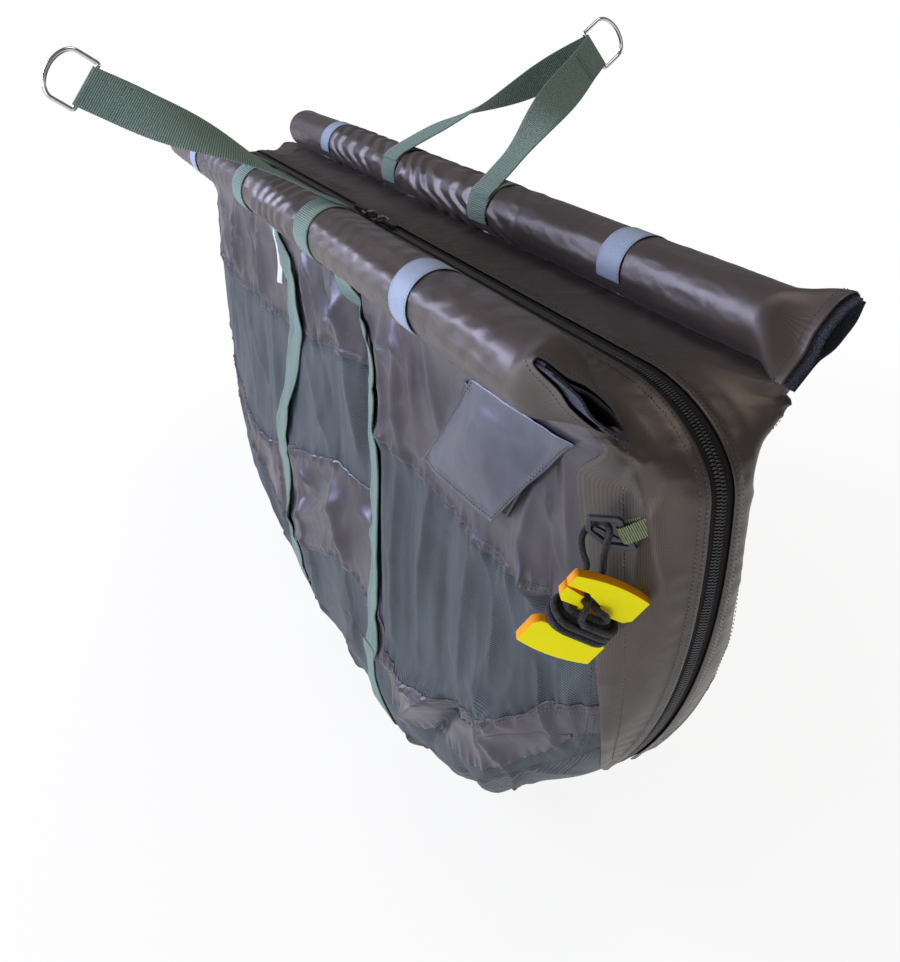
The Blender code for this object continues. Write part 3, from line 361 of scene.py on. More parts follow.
FAR_FOLDS = [(-x0, z0, -x1, z1, width, height)
             for x0, z0, x1, z1, width, height in NEAR_FOLDS[:16]]


def fold_height(folds, x, z):
    """Height of the long folds at a place of a side panel, each with a sharp crest."""
    total = 0.0
    for x0, z0, x1, z1, width, height in folds:
        if abs(x - (x0 + x1) / 2) > abs(x1 - x0) / 2 + 4 * width:
            continue
        run, fall = x1 - x0, z1 - z0
        share = ((x - x0) * run + (z - z0) * fall) / (run * run + fall * fall)
        share = max(-0.1, min(1.1, share))
        apart = math.hypot(x - x0 - run * share, z - z0 - fall * share) / width
        if apart < 4:
            taper = 1 - 0.45 * min(1.0, abs(2 * share - 1)) ** 2
            total += FOLD_GAIN * height * taper * math.exp(-apart ** 1.35)
    return total


def ridge(x, y, z):
    """A net of creases: near 1 on their crests, near 0 between them."""
    return max(0.0, 1 - 2.3 * abs(noise.noise(Vector((x, y, z))))) ** 2


def ripple(x, y, z):
    """Uneven creases of the cloth, most of them upright, in metres."""
    wide = noise.noise(Vector((x * 9, y * 12, z * 5)))
    warp = noise.noise(Vector((x * 16, y * 16 + 4, z * 9)))
    upright = ridge(x * 12 + 1.2 * warp, y * 10, z * 3.5 + 9)
    slanted = ridge(x * 17 - z * 14 + warp, y * 14 + 3, z * 8 + x * 8)
    small = ridge(x * 46 + 2 * warp, y * 36, z * 16 + 5)
    return 0.0055 * wide + 0.0056 * (upright - 0.35) + 0.0022 * (slanted - 0.35) + 0.0005 * small


def calm(x, y, z):
    """Share of the ripples that is left: less in the mesh, least under the pocket."""
    if y > 0:
        return lerp(1.0, 0.6, smooth(-0.16, -0.20, z))
    high, low = (along_table(NEAR_SEAMS[seam], x) for seam in ("mesh_top", "mesh_bottom"))
    mesh = smooth(high + 0.004, high - 0.024, z) * smooth(low - 0.004, low + 0.024, z)
    pocket = smooth(0.29, 0.35, x) * smooth(0.60, 0.55, x) * smooth(-0.205, -0.165, z)
    return (1 - 0.62 * mesh) * (1 - 0.92 * pocket)


def drape(point):
    """How far the cloth stands out of the plain shape at a point of it."""
    x, y, z = point
    top = smooth(PANEL_TOP - 0.004, -0.075, z)
    zip_side = smooth(0.012, 0.045, abs(y))
    height = ripple(x, y, z) * lerp(0.30, 1.0, top) * calm(x, y, z)
    side = smooth(0.030, 0.062, abs(y)) * top
    if side:
        folds = fold_height(NEAR_FOLDS if y < 0 else FAR_FOLDS, x, z)
        if y < 0 and z < -0.38:
            # The nylon that turns in under the front creases in large facets
            turned = smooth(-0.38, -0.43, z) * smooth(0.20, 0.26, x)
            folds += 0.0075 * turned * (ridge(x * 9 - z * 8, 1.0, z * 5 + x * 4) - 0.3)
        height += folds * side * lerp(0.35, 1.0, calm(x, y, z))
    return height * zip_side


def fill_corner(point):
    """Draws the pouch's top corners out to the mouths of the sleeves, where they are sewn."""
    rise = max(0.0, min(1.0, (point.z - BOW_LEVEL) / (SHOULDER_HEIGHT * CORNER_HEIGHT_SHARE)))
    reach = 0.040 * (1 - math.sqrt(1 - rise * rise)) * smooth(0.034, 0.068, abs(point.y))
    point.x += math.copysign(reach * smooth(0.40, 0.55, abs(point.x)), point.x)
    return point


def side_surface(side, x, z, lift=0.0):
    """Point on the draped side panel at x and z, lift above the cloth."""
    step = 0.004
    run = Vector((2 * step, side * (hull_y(x + step, z) - hull_y(x - step, z)), 0))
    fall = Vector((0, side * (hull_y(x, z + step) - hull_y(x, z - step)), 2 * step))
    normal = run.cross(fall).normalized()
    if normal.y * side < 0:
        normal.negate()
    point = Vector((x, side * hull_y(x, z), z))
    return fill_corner(point + normal * (drape(point) + lift))


def belly_surface(x, y, lift=0.0):
    """Point on the draped underside at x and y."""
    step = 0.003
    slope_x = (keel_z(x + step, y) - keel_z(x - step, y)) / (2 * step)
    slope_y = (keel_z(x, y + step) - keel_z(x, y - step)) / (2 * step)
    normal = Vector((slope_x, slope_y, -1)).normalized()
    point = Vector((x, y, keel_z(x, y)))
    return point + normal * (drape(point) + lift)


# Meshes

def grid_piece(name, points, uvs, material, closed=False, thickness=0.0, offset=-1.0,
               inside=Vector((0, 0, -0.25))):
    """Sheet from rows of points; closed joins its last column to its first.

    Its faces look away from the point called inside.
    """
    rows, columns = len(points), len(points[0])
    mesh = bpy.data.meshes.new(name)
    verts = [tuple(point) for row in points for point in row]
    faces = []
    last = columns if closed else columns - 1
    for row in range(rows - 1):
        for column in range(last):
            after = (column + 1) % columns
            faces.append((row * columns + column, row * columns + after,
                          (row + 1) * columns + after, (row + 1) * columns + column))
    mesh.from_pydata(verts, [], faces)
    layer = mesh.uv_layers.new(name="UVMap")
    flat = [tuple(uv) for row in uvs for uv in row]
    for loop in mesh.loops:
        layer.data[loop.index].uv = flat[loop.vertex_index]
    mesh.shade_smooth()
    centre = len(mesh.polygons) // 2
    out = sum((face.center - inside).dot(face.normal)
              for face in mesh.polygons[max(0, centre - 40):centre + 40])
    if out < 0:
        mesh.flip_normals()
    mesh.materials.append(material)
    piece = bpy.data.objects.new(name, mesh)
    bpy.context.scene.collection.objects.link(piece)
    if thickness:
        solid = piece.modifiers.new("Cloth thickness", "SOLIDIFY")
        solid.thickness = thickness
        solid.offset = offset
    return piece


def tube_piece(name, path, radius, sides, material, closed=False):
    """Round tube along a path; its UV runs round it from 0 to 1, and along it in metres."""
    count = len(path)
    tangents = []
    for index in range(count):
        before = path[index - 1] if index or closed else path[0]
        after = path[(index + 1) % count] if index < count - 1 or closed else path[-1]
        tangents.append((after - before).normalized())
    across = tangents[0].orthogonal().normalized()
    points, uvs, length = [], [], 0.0
    for index, (spot, tangent) in enumerate(zip(path, tangents)):
        across = (across - tangent * across.dot(tangent)).normalized()
        other = tangent.cross(across)
        if index:
            length += (spot - path[index - 1]).length
        ring = [spot + across * (radius * math.cos(2 * math.pi * side / sides))
                + other * (radius * math.sin(2 * math.pi * side / sides))
                for side in range(sides)]
        points.append(ring)
        uvs.append([(side / sides, length) for side in range(sides)])
    if closed:
        points.append(points[0])
        uvs.append([(u, length + 0.01) for u, _ in uvs[0]])
    piece = grid_piece(name, points, uvs, material, closed=True, inside=path[count // 2])
    if not closed:
        mesh = bmesh.new()
        mesh.from_mesh(piece.data)
        bmesh.ops.holes_fill(mesh, edges=[edge for edge in mesh.edges if edge.is_boundary])
        mesh.to_mesh(piece.data)
        mesh.free()
    orient_outward(piece)
    return piece


def orient_outward(piece):
    """Turns a closed piece's faces outward."""
    mesh = bmesh.new()
    mesh.from_mesh(piece.data)
    bmesh.ops.recalc_face_normals(mesh, faces=mesh.faces)
    mesh.to_mesh(piece.data)
    mesh.free()


def solid_piece(name, verts, faces, material):
    """Piece from corners and closed faces."""
    mesh = bpy.data.meshes.new(name)
    mesh.from_pydata([tuple(vert) for vert in verts], [], faces)
    mesh.shade_smooth()
    mesh.materials.append(material)
    piece = bpy.data.objects.new(name, mesh)
    bpy.context.scene.collection.objects.link(piece)
    orient_outward(piece)
    return piece


def ribbon_piece(name, rows, material, thickness):
    """Webbing or tape from rows of points across it, its UV in metres."""
    uvs, length = [], 0.0
    middle = len(rows[0]) // 2
    for index, row in enumerate(rows):
        if index:
            length += (row[middle] - rows[index - 1][middle]).length
        width, line = 0.0, []
        for column, point in enumerate(row):
            if column:
                width += (point - row[column - 1]).length
            line.append((width, length))
        uvs.append(line)
    piece = grid_piece(name, rows, uvs, material, thickness=thickness, offset=0.0)
    bevel = piece.modifiers.new("Soft edge", "BEVEL")
    bevel.width = thickness * 0.3
    bevel.segments = 2
    bevel.limit_method = "ANGLE"
    bevel.angle_limit = math.radians(60)
    return piece


def stitch_piece(name, lines, material, pitch=0.0036, share=0.68, radius=0.00032):
    """Rows of stitches, each line a list of points just above the cloth."""
    verts, faces = [], []
    for line in lines:
        lengths = [0.0]
        for before, after in zip(line, line[1:]):
            lengths.append(lengths[-1] + (after - before).length)
        total = lengths[-1]
        place, spot = 0.0, 0
        while place + pitch * share < total:
            ends = []
            for reach in (place, place + pitch * share):
                while spot < len(line) - 2 and lengths[spot + 1] < reach:
                    spot += 1
                span = max(1e-9, lengths[spot + 1] - lengths[spot])
                ends.append(line[spot].lerp(line[spot + 1], (reach - lengths[spot]) / span))
            along = (ends[1] - ends[0]).normalized()
            side = along.orthogonal().normalized()
            other = along.cross(side)
            middle = (ends[0] + ends[1]) / 2
            base = len(verts)
            verts += [ends[0], ends[1]]
            verts += [middle + (side * math.cos(angle) + other * math.sin(angle)) * radius
                      for angle in (0, math.pi / 2, math.pi, 3 * math.pi / 2)]
            ring = [base + 2, base + 3, base + 4, base + 5]
            for first, second in zip(ring, ring[1:] + ring[:1]):
                faces += [(base, second, first), (base + 1, first, second)]
            place += pitch
    return solid_piece(name, verts, faces, material)


def dress(piece, body, slot, *nodes):
    """Puts a piece on its body and hides the CAD nodes that it stands for; the slot for its finish
    is not used.
    """
    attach(piece, body)
    if nodes:
        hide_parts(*nodes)
    return piece


def hang(piece, word, slot, *nodes):
    """For cloth of a side: bakes its place into its mesh and hides the CAD nodes that it stands for.
    """
    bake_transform(piece)
    if nodes:
        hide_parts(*nodes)
    return piece


# Materials

def linear(code):
    """Linear colour from an sRGB hex value."""
    values = [int(code[index:index + 2], 16) / 255 for index in (1, 3, 5)]
    values = [v / 12.92 if v <= 0.04045 else ((v + 0.055) / 1.055) ** 2.4 for v in values]
    return (*values, 1.0)


def add_node(tree, kind, inputs=(), output=0, **settings):
    """Adds a node with its settings and links, and returns one of its outputs.

    An input is another node's output, a value, or a colour as an sRGB hex value.
    """
    node = tree.nodes.new(kind)
    for name, value in settings.items():
        setattr(node, name, value)
    for socket, source in dict(inputs).items():
        if isinstance(source, bpy.types.NodeSocket):
            tree.links.new(source, node.inputs[socket])
        elif isinstance(source, str):
            node.inputs[socket].default_value = linear(source)
        else:
            node.inputs[socket].default_value = source
    return node.outputs[output]


def new_material(name, roughness, **sockets):
    """Material with a Principled shader whose constant sockets are set here."""
    material = bpy.data.materials.new(name)
    material.use_nodes = True
    shader = material.node_tree.nodes["Principled BSDF"]
    shader.inputs["Roughness"].default_value = roughness
    for key, value in sockets.items():
        shader.inputs[key.replace("_", " ")].default_value = value
    return material, material.node_tree, shader


def set_surface(tree, shader, colour, relief=None, depth=0.0, strength=1.0):
    """Links a colour to a shader, and a pattern as relief of a depth in metres."""
    tree.links.new(colour, shader.inputs["Base Color"])
    if relief is not None:
        normal = add_node(tree, "ShaderNodeBump",
                          {"Height": relief, "Distance": depth, "Strength": strength})
        tree.links.new(normal, shader.inputs["Normal"])


def repeats(tree, pitch):
    """Place on a piece's UV, which is in metres, counted in repeats of a pattern."""
    uv = add_node(tree, "ShaderNodeTexCoord", output="UV")
    return add_node(tree, "ShaderNodeVectorMath", {0: uv, 1: (1 / pitch, 1 / pitch, 1.0)},
                    operation="MULTIPLY")


def stripes(tree, pitch, direction, distortion=0.0):
    """Pattern of soft stripes a pitch apart, as a value of 0 to 1."""
    # A wave texture of scale 1 repeats after pi / 10 units
    return add_node(tree, "ShaderNodeTexWave",
                    {"Vector": repeats(tree, pitch), "Scale": math.pi / 10,
                     "Distortion": distortion}, "Fac",
                    wave_type="BANDS", bands_direction=direction)


def plain_weave(tree, pitch, second="Y"):
    """Pattern of two sets of stripes that cross, raised where both are."""
    return add_node(tree, "ShaderNodeMath",
                    {0: stripes(tree, pitch, "X"), 1: stripes(tree, pitch, second)},
                    operation="MULTIPLY")


def nylon_taffeta(colours, name="coated nylon taffeta, silky", sheen="#a9b4dc",
                  gleam="#d9dfff", crinkling=0.9, roughest=0.42):
    """Tightly woven thin nylon, coated: brown threads with a cool silky sheen on every fold."""
    material, tree, shader = new_material(
        name, roughest, Sheen_Weight=0.20, Sheen_Roughness=0.35, Sheen_Tint=linear(sheen),
        Specular_IOR_Level=0.70, Specular_Tint=linear(gleam), Anisotropic=0.35, IOR=1.53)
    place = add_node(tree, "ShaderNodeTexCoord", output="Object")
    cloud = add_node(tree, "ShaderNodeTexNoise", {"Vector": place, "Scale": 9.0, "Detail": 5.0})
    share = add_node(tree, "ShaderNodeMapRange",
                     {"Value": cloud, "From Min": 0.35, "From Max": 0.65})
    brown = add_node(tree, "ShaderNodeMix", {0: share, 6: colours[0], 7: colours[1]}, 2,
                     data_type="RGBA")
    # Threads lie 0.25 mm apart on the real cloth; drawn at 1 mm to show
    weave = plain_weave(tree, 0.0010)
    share = add_node(tree, "ShaderNodeMath", {0: weave, 1: 0.20}, operation="MULTIPLY")
    shaded = add_node(tree, "ShaderNodeMix", {0: share, 6: brown, 7: "#7f7a85"}, 2,
                      data_type="RGBA")
    # Soft crinkles about 90 mm apart and creases about 24 mm apart, between the modelled folds
    crinkle = add_node(tree, "ShaderNodeTexNoise",
                       {"Vector": place, "Scale": 11.0, "Detail": 1.0, "Distortion": 0.4},
                       noise_type="RIDGED_MULTIFRACTAL")
    crease = add_node(tree, "ShaderNodeTexNoise",
                      {"Vector": place, "Scale": 42.0, "Detail": 2.0, "Distortion": 0.8})
    relief = add_node(tree, "ShaderNodeMath", {0: weave, 1: 0.05}, operation="MULTIPLY")
    for pattern, height in ((crease, 0.55), (crinkle, crinkling)):
        relief = add_node(tree, "ShaderNodeMath", {0: pattern, 1: height, 2: relief},
                          operation="MULTIPLY_ADD")
    set_surface(tree, shader, shaded, relief, 0.0020, 0.6)
    # Creases lie from a little smoother to as rough as the cloth gets
    roughness = add_node(tree, "ShaderNodeMapRange",
                         {"Value": crease, "From Min": 0.2, "From Max": 0.9,
                          "To Min": roughest - 0.12, "To Max": roughest})
    tree.links.new(roughness, shader.inputs["Roughness"])
    return material


def knitted_mesh(colours):
    """Fine polyester mesh: dark blue-grey, rows of pale threads over small dark holes."""
    material, tree, shader = new_material("knitted polyester mesh", 0.50, Sheen_Weight=0.11,
                                          Sheen_Tint=linear("#8fa6c4"), Specular_IOR_Level=0.45)
    # Rows lie 1.2 mm apart on the real mesh; drawn at 2.2 mm to show
    rows = add_node(tree, "ShaderNodeMapRange", {"Value": stripes(tree, 0.0022, "Y", 0.3),
                                                 "From Min": 0.35, "From Max": 0.90})
    columns = add_node(tree, "ShaderNodeMapRange", {"Value": stripes(tree, 0.0022, "X"),
                                                    "From Min": 0.55, "From Max": 1.0})
    faint = add_node(tree, "ShaderNodeMath", {0: columns, 1: 0.45}, operation="MULTIPLY")
    threads = add_node(tree, "ShaderNodeMath", {0: rows, 1: faint}, operation="MAXIMUM")
    # Painted highlights: long pale streaks, about 30 mm wide and drawn out upwards, stand in for
    # light on the mesh's soft upright folds
    place = add_node(tree, "ShaderNodeTexCoord", output="Object")
    drawn_out = add_node(tree, "ShaderNodeMapping", {"Vector": place, "Scale": (1.0, 1.0, 0.22)})
    painted_fold_highlights = add_node(tree, "ShaderNodeTexNoise",
                       {"Vector": drawn_out, "Scale": 34.0, "Detail": 4.0})
    share = add_node(tree, "ShaderNodeMapRange",
                     {"Value": painted_fold_highlights, "From Min": 0.38, "From Max": 0.68})
    pale = add_node(tree, "ShaderNodeMix", {0: share, 6: colours[1], 7: "#55646b"}, 2,
                    data_type="RGBA")
    share = add_node(tree, "ShaderNodeMath", {0: threads, 1: 0.8}, operation="MULTIPLY")
    colour = add_node(tree, "ShaderNodeMix", {0: share, 6: colours[0], 7: pale}, 2,
                      data_type="RGBA")
    set_surface(tree, shader, colour, threads, 0.0006, 0.7)
    return material


def ribbed_webbing(name, dark, light, pitch=0.0022):
    """Woven polypropylene webbing: rounded ribs straight across, dull, with a soft bloom."""
    material, tree, shader = new_material(name, 0.68, Sheen_Weight=0.35, Sheen_Roughness=0.5,
                                          Sheen_Tint=linear("#b9d0c2"), Specular_IOR_Level=0.40)
    ribs = stripes(tree, pitch, "Y", 0.25)
    place = add_node(tree, "ShaderNodeTexCoord", output="Object")
    # Tufts of fuzz are about 2.4 mm across
    fuzz = add_node(tree, "ShaderNodeTexNoise", {"Vector": place, "Scale": 420.0, "Detail": 2.0})
    tone = add_node(tree, "ShaderNodeMath", {0: fuzz, 1: 0.35}, operation="MULTIPLY")
    tone = add_node(tree, "ShaderNodeMath", {0: ribs, 1: 0.75, 2: tone},
                    operation="MULTIPLY_ADD")
    colour = add_node(tree, "ShaderNodeMix", {0: tone, 6: dark, 7: light}, 2, data_type="RGBA")
    # Warp threads run along the webbing 0.9 mm apart, over ribs 1.6 to 2.2 mm apart
    relief = add_node(tree, "ShaderNodeMath", {0: stripes(tree, 0.0009, "X"), 1: 0.18, 2: ribs},
                      operation="MULTIPLY_ADD")
    set_surface(tree, shader, colour, relief, 0.0009, 0.9)
    return material


def woven_tape(name, dark, light, roughness=0.8):
    """Flat woven tape, as beside a zip: fine herringbone, dull."""
    material, tree, shader = new_material(name, roughness, Specular_IOR_Level=0.3)
    # Threads lie 0.4 mm apart on the real tape; drawn at 1.4 mm to show
    weave = plain_weave(tree, 0.0014, "DIAGONAL")
    colour = add_node(tree, "ShaderNodeMix", {0: weave, 6: dark, 7: light}, 2, data_type="RGBA")
    set_surface(tree, shader, colour, weave, 0.0004, 0.7)
    return material


def moulded_nylon(name, colour, roughness=0.35):
    """Injection-moulded black plastic with faint flow marks and a soft gloss."""
    material, tree, shader = new_material(name, roughness, Specular_IOR_Level=0.5, IOR=1.53)
    place = add_node(tree, "ShaderNodeTexCoord", output="Object")
    # Grain of about 1.1 mm and worn spots of about 8 mm
    grain = add_node(tree, "ShaderNodeTexNoise", {"Vector": place, "Scale": 900.0, "Detail": 3.0})
    wear = add_node(tree, "ShaderNodeTexNoise", {"Vector": place, "Scale": 120.0, "Detail": 3.0})
    share = add_node(tree, "ShaderNodeMath", {0: wear, 1: 0.5}, operation="MULTIPLY")
    tint = add_node(tree, "ShaderNodeMix", {0: share, 6: colour, 7: "#4a4d58"}, 2,
                    data_type="RGBA")
    set_surface(tree, shader, tint, grain, 0.00015, 0.6)
    return material


def retroreflective_tape(colour):
    """Silver glass-bead tape: pale blue-grey, faint grain of beads, dull."""
    material, tree, shader = new_material("glass-bead reflective tape", 0.55,
                                          Specular_IOR_Level=0.35)
    # Beads are far under 0.1 mm on the real tape; drawn at 1.1 mm to show
    beads = add_node(tree, "ShaderNodeTexVoronoi", {"Vector": repeats(tree, 0.0011), "Scale": 1.0})
    share = add_node(tree, "ShaderNodeMapRange", {"Value": beads, "From Max": 0.9})
    tint = add_node(tree, "ShaderNodeMix", {0: share, 6: colour, 7: "#8492a8"}, 2,
                    data_type="RGBA")
    set_surface(tree, shader, tint, beads, 0.00015, 0.4)
    return material


def hook_and_loop(name, dark, light, pitch):
    """Hook-and-loop strip: dense rows of hooks or a felted nap, very dull."""
    material, tree, shader = new_material(name, 0.9, Sheen_Weight=0.5,
                                          Sheen_Tint=linear("#8d92a6"), Specular_IOR_Level=0.25)
    # Real hooks stand about 0.8 mm apart, and a nap is finer; both are drawn coarser to show
    hooks = add_node(tree, "ShaderNodeTexVoronoi",
                     {"Vector": repeats(tree, pitch), "Scale": 1.0, "Randomness": 0.55})
    share = add_node(tree, "ShaderNodeMapRange",
                     {"Value": hooks, "From Min": 0.1, "From Max": 0.6})
    tint = add_node(tree, "ShaderNodeMix", {0: share, 6: light, 7: dark}, 2, data_type="RGBA")
    set_surface(tree, shader, tint, hooks, -0.0010, 1.0)
    return material


def polished_steel():
    """Nickel-plated steel wire: bright, lightly scratched."""
    material, tree, shader = new_material("nickel-plated steel wire", 0.16, Metallic=1.0)
    place = add_node(tree, "ShaderNodeTexCoord", output="Object")
    # Fine scratches, in patches of about 4 mm
    scratch = add_node(tree, "ShaderNodeTexNoise",
                       {"Vector": place, "Scale": 260.0, "Detail": 4.0, "Distortion": 1.2})
    tint = add_node(tree, "ShaderNodeMix", {0: scratch, 6: "#a9a8a6", 7: "#e2e2e0"}, 2,
                    data_type="RGBA")
    set_surface(tree, shader, tint, scratch, 0.0001, 0.35)
    roughness = add_node(tree, "ShaderNodeMath", {0: scratch, 1: 0.16, 2: 0.08},
                         operation="MULTIPLY_ADD")
    tree.links.new(roughness, shader.inputs["Roughness"])
    return material


def sliced_foam(name, colour, shade):
    """Closed-cell EVA foam, cut: bright, matt, with small open pores."""
    material, tree, shader = new_material(name, 0.66, Specular_IOR_Level=0.20,
                                          Subsurface_Weight=0.12,
                                          Subsurface_Radius=(0.004, 0.003, 0.001))
    place = add_node(tree, "ShaderNodeTexCoord", output="Object")
    # Pores lie about 0.7 mm apart, in clouds of about 17 mm
    pores = add_node(tree, "ShaderNodeTexVoronoi", {"Vector": place, "Scale": 1400.0})
    spots = add_node(tree, "ShaderNodeMapRange",
                     {"Value": pores, "From Min": 0.5, "From Max": 0.1, "To Max": 0.35})
    cloud = add_node(tree, "ShaderNodeTexNoise", {"Vector": place, "Scale": 60.0, "Detail": 3.0})
    tone = add_node(tree, "ShaderNodeMath", {0: cloud, 1: 0.25, 2: spots},
                    operation="MULTIPLY_ADD")
    tint = add_node(tree, "ShaderNodeMix", {0: tone, 6: colour, 7: shade}, 2, data_type="RGBA")
    set_surface(tree, shader, tint, pores, 0.0003, 0.5)
    return material


def braided_cord():
    """Eight-strand black braid with pale flecks where strands catch the light."""
    material, tree, shader = new_material("braided polyester cord", 0.50, Sheen_Weight=0.10,
                                          Sheen_Tint=linear("#b8bcc8"), Specular_IOR_Level=0.5)
    uv = add_node(tree, "ShaderNodeTexCoord", output="UV")
    # Four strands each way round, one plait every 3.5 mm; U runs once round, V is in metres
    bumps = []
    for strands in (4.0, -4.0):
        strand = add_node(tree, "ShaderNodeVectorMath", {0: uv, 1: (strands, 1 / 0.0035, 0.0)},
                          "Value", operation="DOT_PRODUCT")
        turned = add_node(tree, "ShaderNodeMath", {0: strand, 1: 2 * math.pi},
                          operation="MULTIPLY")
        wave = add_node(tree, "ShaderNodeMath", {0: turned}, operation="SINE")
        bumps.append(add_node(tree, "ShaderNodeMath", {0: wave}, operation="ABSOLUTE"))
    plait = add_node(tree, "ShaderNodeMath", {0: bumps[0], 1: bumps[1]}, operation="MULTIPLY")
    place = add_node(tree, "ShaderNodeTexCoord", output="Object")
    # Flecks are about 2 mm long
    grain = add_node(tree, "ShaderNodeTexNoise", {"Vector": place, "Scale": 500.0, "Detail": 2.0})
    fleck = add_node(tree, "ShaderNodeMapRange",
                     {"Value": grain, "From Min": 0.45, "From Max": 0.7})
    light = add_node(tree, "ShaderNodeMath", {0: plait, 1: fleck}, operation="MULTIPLY")
    colour = add_node(tree, "ShaderNodeMix", {0: light, 6: "#08080b", 7: "#5a5c68"}, 2,
                      data_type="RGBA")
    set_surface(tree, shader, colour, plait, 0.0008, 1.0)
    return material


def sewing_thread(name, colour):
    """Bonded polyester thread, slightly shiny."""
    material, tree, shader = new_material(name, 0.5, Sheen_Weight=0.3)
    place = add_node(tree, "ShaderNodeTexCoord", output="Object")
    # The thread's twist repeats about every 1.3 mm
    twist = add_node(tree, "ShaderNodeTexNoise", {"Vector": place, "Scale": 800.0})
    share = add_node(tree, "ShaderNodeMath", {0: twist, 1: 0.5}, operation="MULTIPLY")
    tint = add_node(tree, "ShaderNodeMix", {0: share, 6: colour, 7: "#6f6a6a"}, 2,
                    data_type="RGBA")
    set_surface(tree, shader, tint)
    return material


def matt_foam():
    """Closed-cell polyethylene foam inside the sleeves, charcoal."""
    material, tree, shader = new_material("polyethylene foam, charcoal", 0.9)
    place = add_node(tree, "ShaderNodeTexCoord", output="Object")
    # Cells are about 1.1 mm across
    cells = add_node(tree, "ShaderNodeTexVoronoi", {"Vector": place, "Scale": 900.0})
    tint = add_node(tree, "ShaderNodeMix", {0: cells, 6: "#2a2a2c", 7: "#3c3c3f"}, 2,
                    data_type="RGBA")
    set_surface(tree, shader, tint, cells, 0.0004, 0.8)
    return material


class ClothSettings(bpy.types.PropertyGroup):
    """Colours, density and thickness of the cloth."""
    nylon_dark: FloatVectorProperty(
        name="Nylon, dark", description="Darker tone of the sides' nylon", subtype="COLOR", size=4,
        default=linear("#2b2421"))
    nylon_light: FloatVectorProperty(
        name="Nylon, light", description="Lighter tone of the sides' nylon", subtype="COLOR", size=4,
        default=linear("#3b322e"))
    mesh_dark: FloatVectorProperty(
        name="Mesh, dark", description="Colour of the mesh's holes", subtype="COLOR", size=4,
        default=linear("#0c1218"))
    mesh_light: FloatVectorProperty(
        name="Mesh, light", description="Colour of the mesh's threads", subtype="COLOR", size=4,
        default=linear("#2b3742"))
    columns: IntProperty(
        name="Columns", description="Columns of a side panel's mesh", default=420, min=20)
    thickness: FloatProperty(
        name="Cloth thickness", description="Thickness of the nylon", default=0.0008,
        unit="LENGTH", subtype="DISTANCE")


class WebbingSettings(bpy.types.PropertyGroup):
    """Sizes and colours of the webbing."""
    dark: FloatVectorProperty(
        name="Webbing, dark", description="Colour of the furrows between its ribs",
        subtype="COLOR", size=4,
        default=linear("#3a4c46"))
    light: FloatVectorProperty(
        name="Webbing, light", description="Colour of its ribs", subtype="COLOR", size=4,
        default=linear("#87a198"))
    width: FloatProperty(
        name="Width", description="Width of straps and handles", default=0.042,
        unit="LENGTH", subtype="DISTANCE")
    thickness: FloatProperty(
        name="Thickness", description="Thickness of the webbing", default=0.0015,
        unit="LENGTH", subtype="DISTANCE")


class SlingSettings(bpy.types.PropertyGroup):
    """All settings of the sling."""
    cloth: PointerProperty(type=ClothSettings)
    webbing: PointerProperty(type=WebbingSettings)


MATERIALS = {}


def material_of(key):
    """The sling's materials, each made when it is first asked for."""
    cloth, webbing = bpy.context.scene.sling.cloth, bpy.context.scene.sling.webbing
    makers = {
        "nylon": lambda: nylon_taffeta((cloth.nylon_dark, cloth.nylon_light)),
        # Painted light: the sleeves' copy of the nylon has warmer colours and neutral tints that
        # stand in for the warm light from above; its smoother relief and rougher gloss are the
        # cloth's own
        "sleeve": lambda: nylon_taffeta(("#2c241e", "#3d322a"), "coated nylon taffeta, sleeves, painted warm light",
                                        "#a6a4b0", "#efeaf2", 0.35, 0.48),
        # Painted light: the flap's copy of the nylon is paler and bluer, standing in for the cool
        # side light that the flap catches; its smoothness is the pressed cloth's own
        "flap": lambda: nylon_taffeta(("#34363d", "#4a4d56"), "coated nylon taffeta, pressed flap, painted lighter",
                                      "#a9b4dc", "#d9dfff", 0.08),
        # Painted shade and light: the cover's and end gussets' copy of the nylon is darker, standing
        # in for shade as it faces up away from the cool side light, and its warm tints stand in for
        # the warm light from above
        "cover": lambda: nylon_taffeta(("#241e1b", "#322925"), "coated nylon taffeta, cover, painted shade",
                                       "#a49c98", "#fff4ea", 0.6, 0.50),
        "mesh": lambda: knitted_mesh((cloth.mesh_dark, cloth.mesh_light)),
        "webbing": lambda: ribbed_webbing("ribbed webbing, sage green", webbing.dark, webbing.light),
        "loop": lambda: ribbed_webbing("narrow ribbed webbing, olive", "#2b2e17", "#a3ab80", 0.0016),
        "zip_tape": lambda: woven_tape("woven zip tape, black", "#0b0b0d", "#26262a"),
        "zip_coil": lambda: moulded_nylon("moulded nylon zip coil", "#101013", 0.38),
        "reflective": lambda: retroreflective_tape("#98a5ba"),
        "hook": lambda: hook_and_loop("nylon hook strip", "#12131a", "#3d4150", 0.0014),
        "nap": lambda: hook_and_loop("brushed loop strip", "#15161c", "#343744", 0.0008),
        "steel": polished_steel,
        "enamel": lambda: moulded_nylon("black enamelled zinc", "#0e0e10", 0.28),
        "rubber": lambda: moulded_nylon("moulded rubber grip", "#0f0f11", 0.6),
        "tab": lambda: woven_tape("bare woven tab, white", "#c9cbc9", "#f0f0ec", 0.7),
        "clip": lambda: moulded_nylon("moulded acetal clip", "#23252d", 0.33),
        "foam_face": lambda: sliced_foam("EVA foam, yellow face", "#fff600", "#f7e400"),
        "foam_side": lambda: sliced_foam("EVA foam, orange edge", "#ef9c06", "#cf7c00"),
        "cord": braided_cord,
        "dark_thread": lambda: sewing_thread("dark brown thread", "#1d1713"),
        "pale_thread": lambda: sewing_thread("grey thread", "#8f8c8a"),
        "float": matt_foam,
    }
    if key not in MATERIALS:
        MATERIALS[key] = makers[key]()
    return MATERIALS[key]


# Side panels

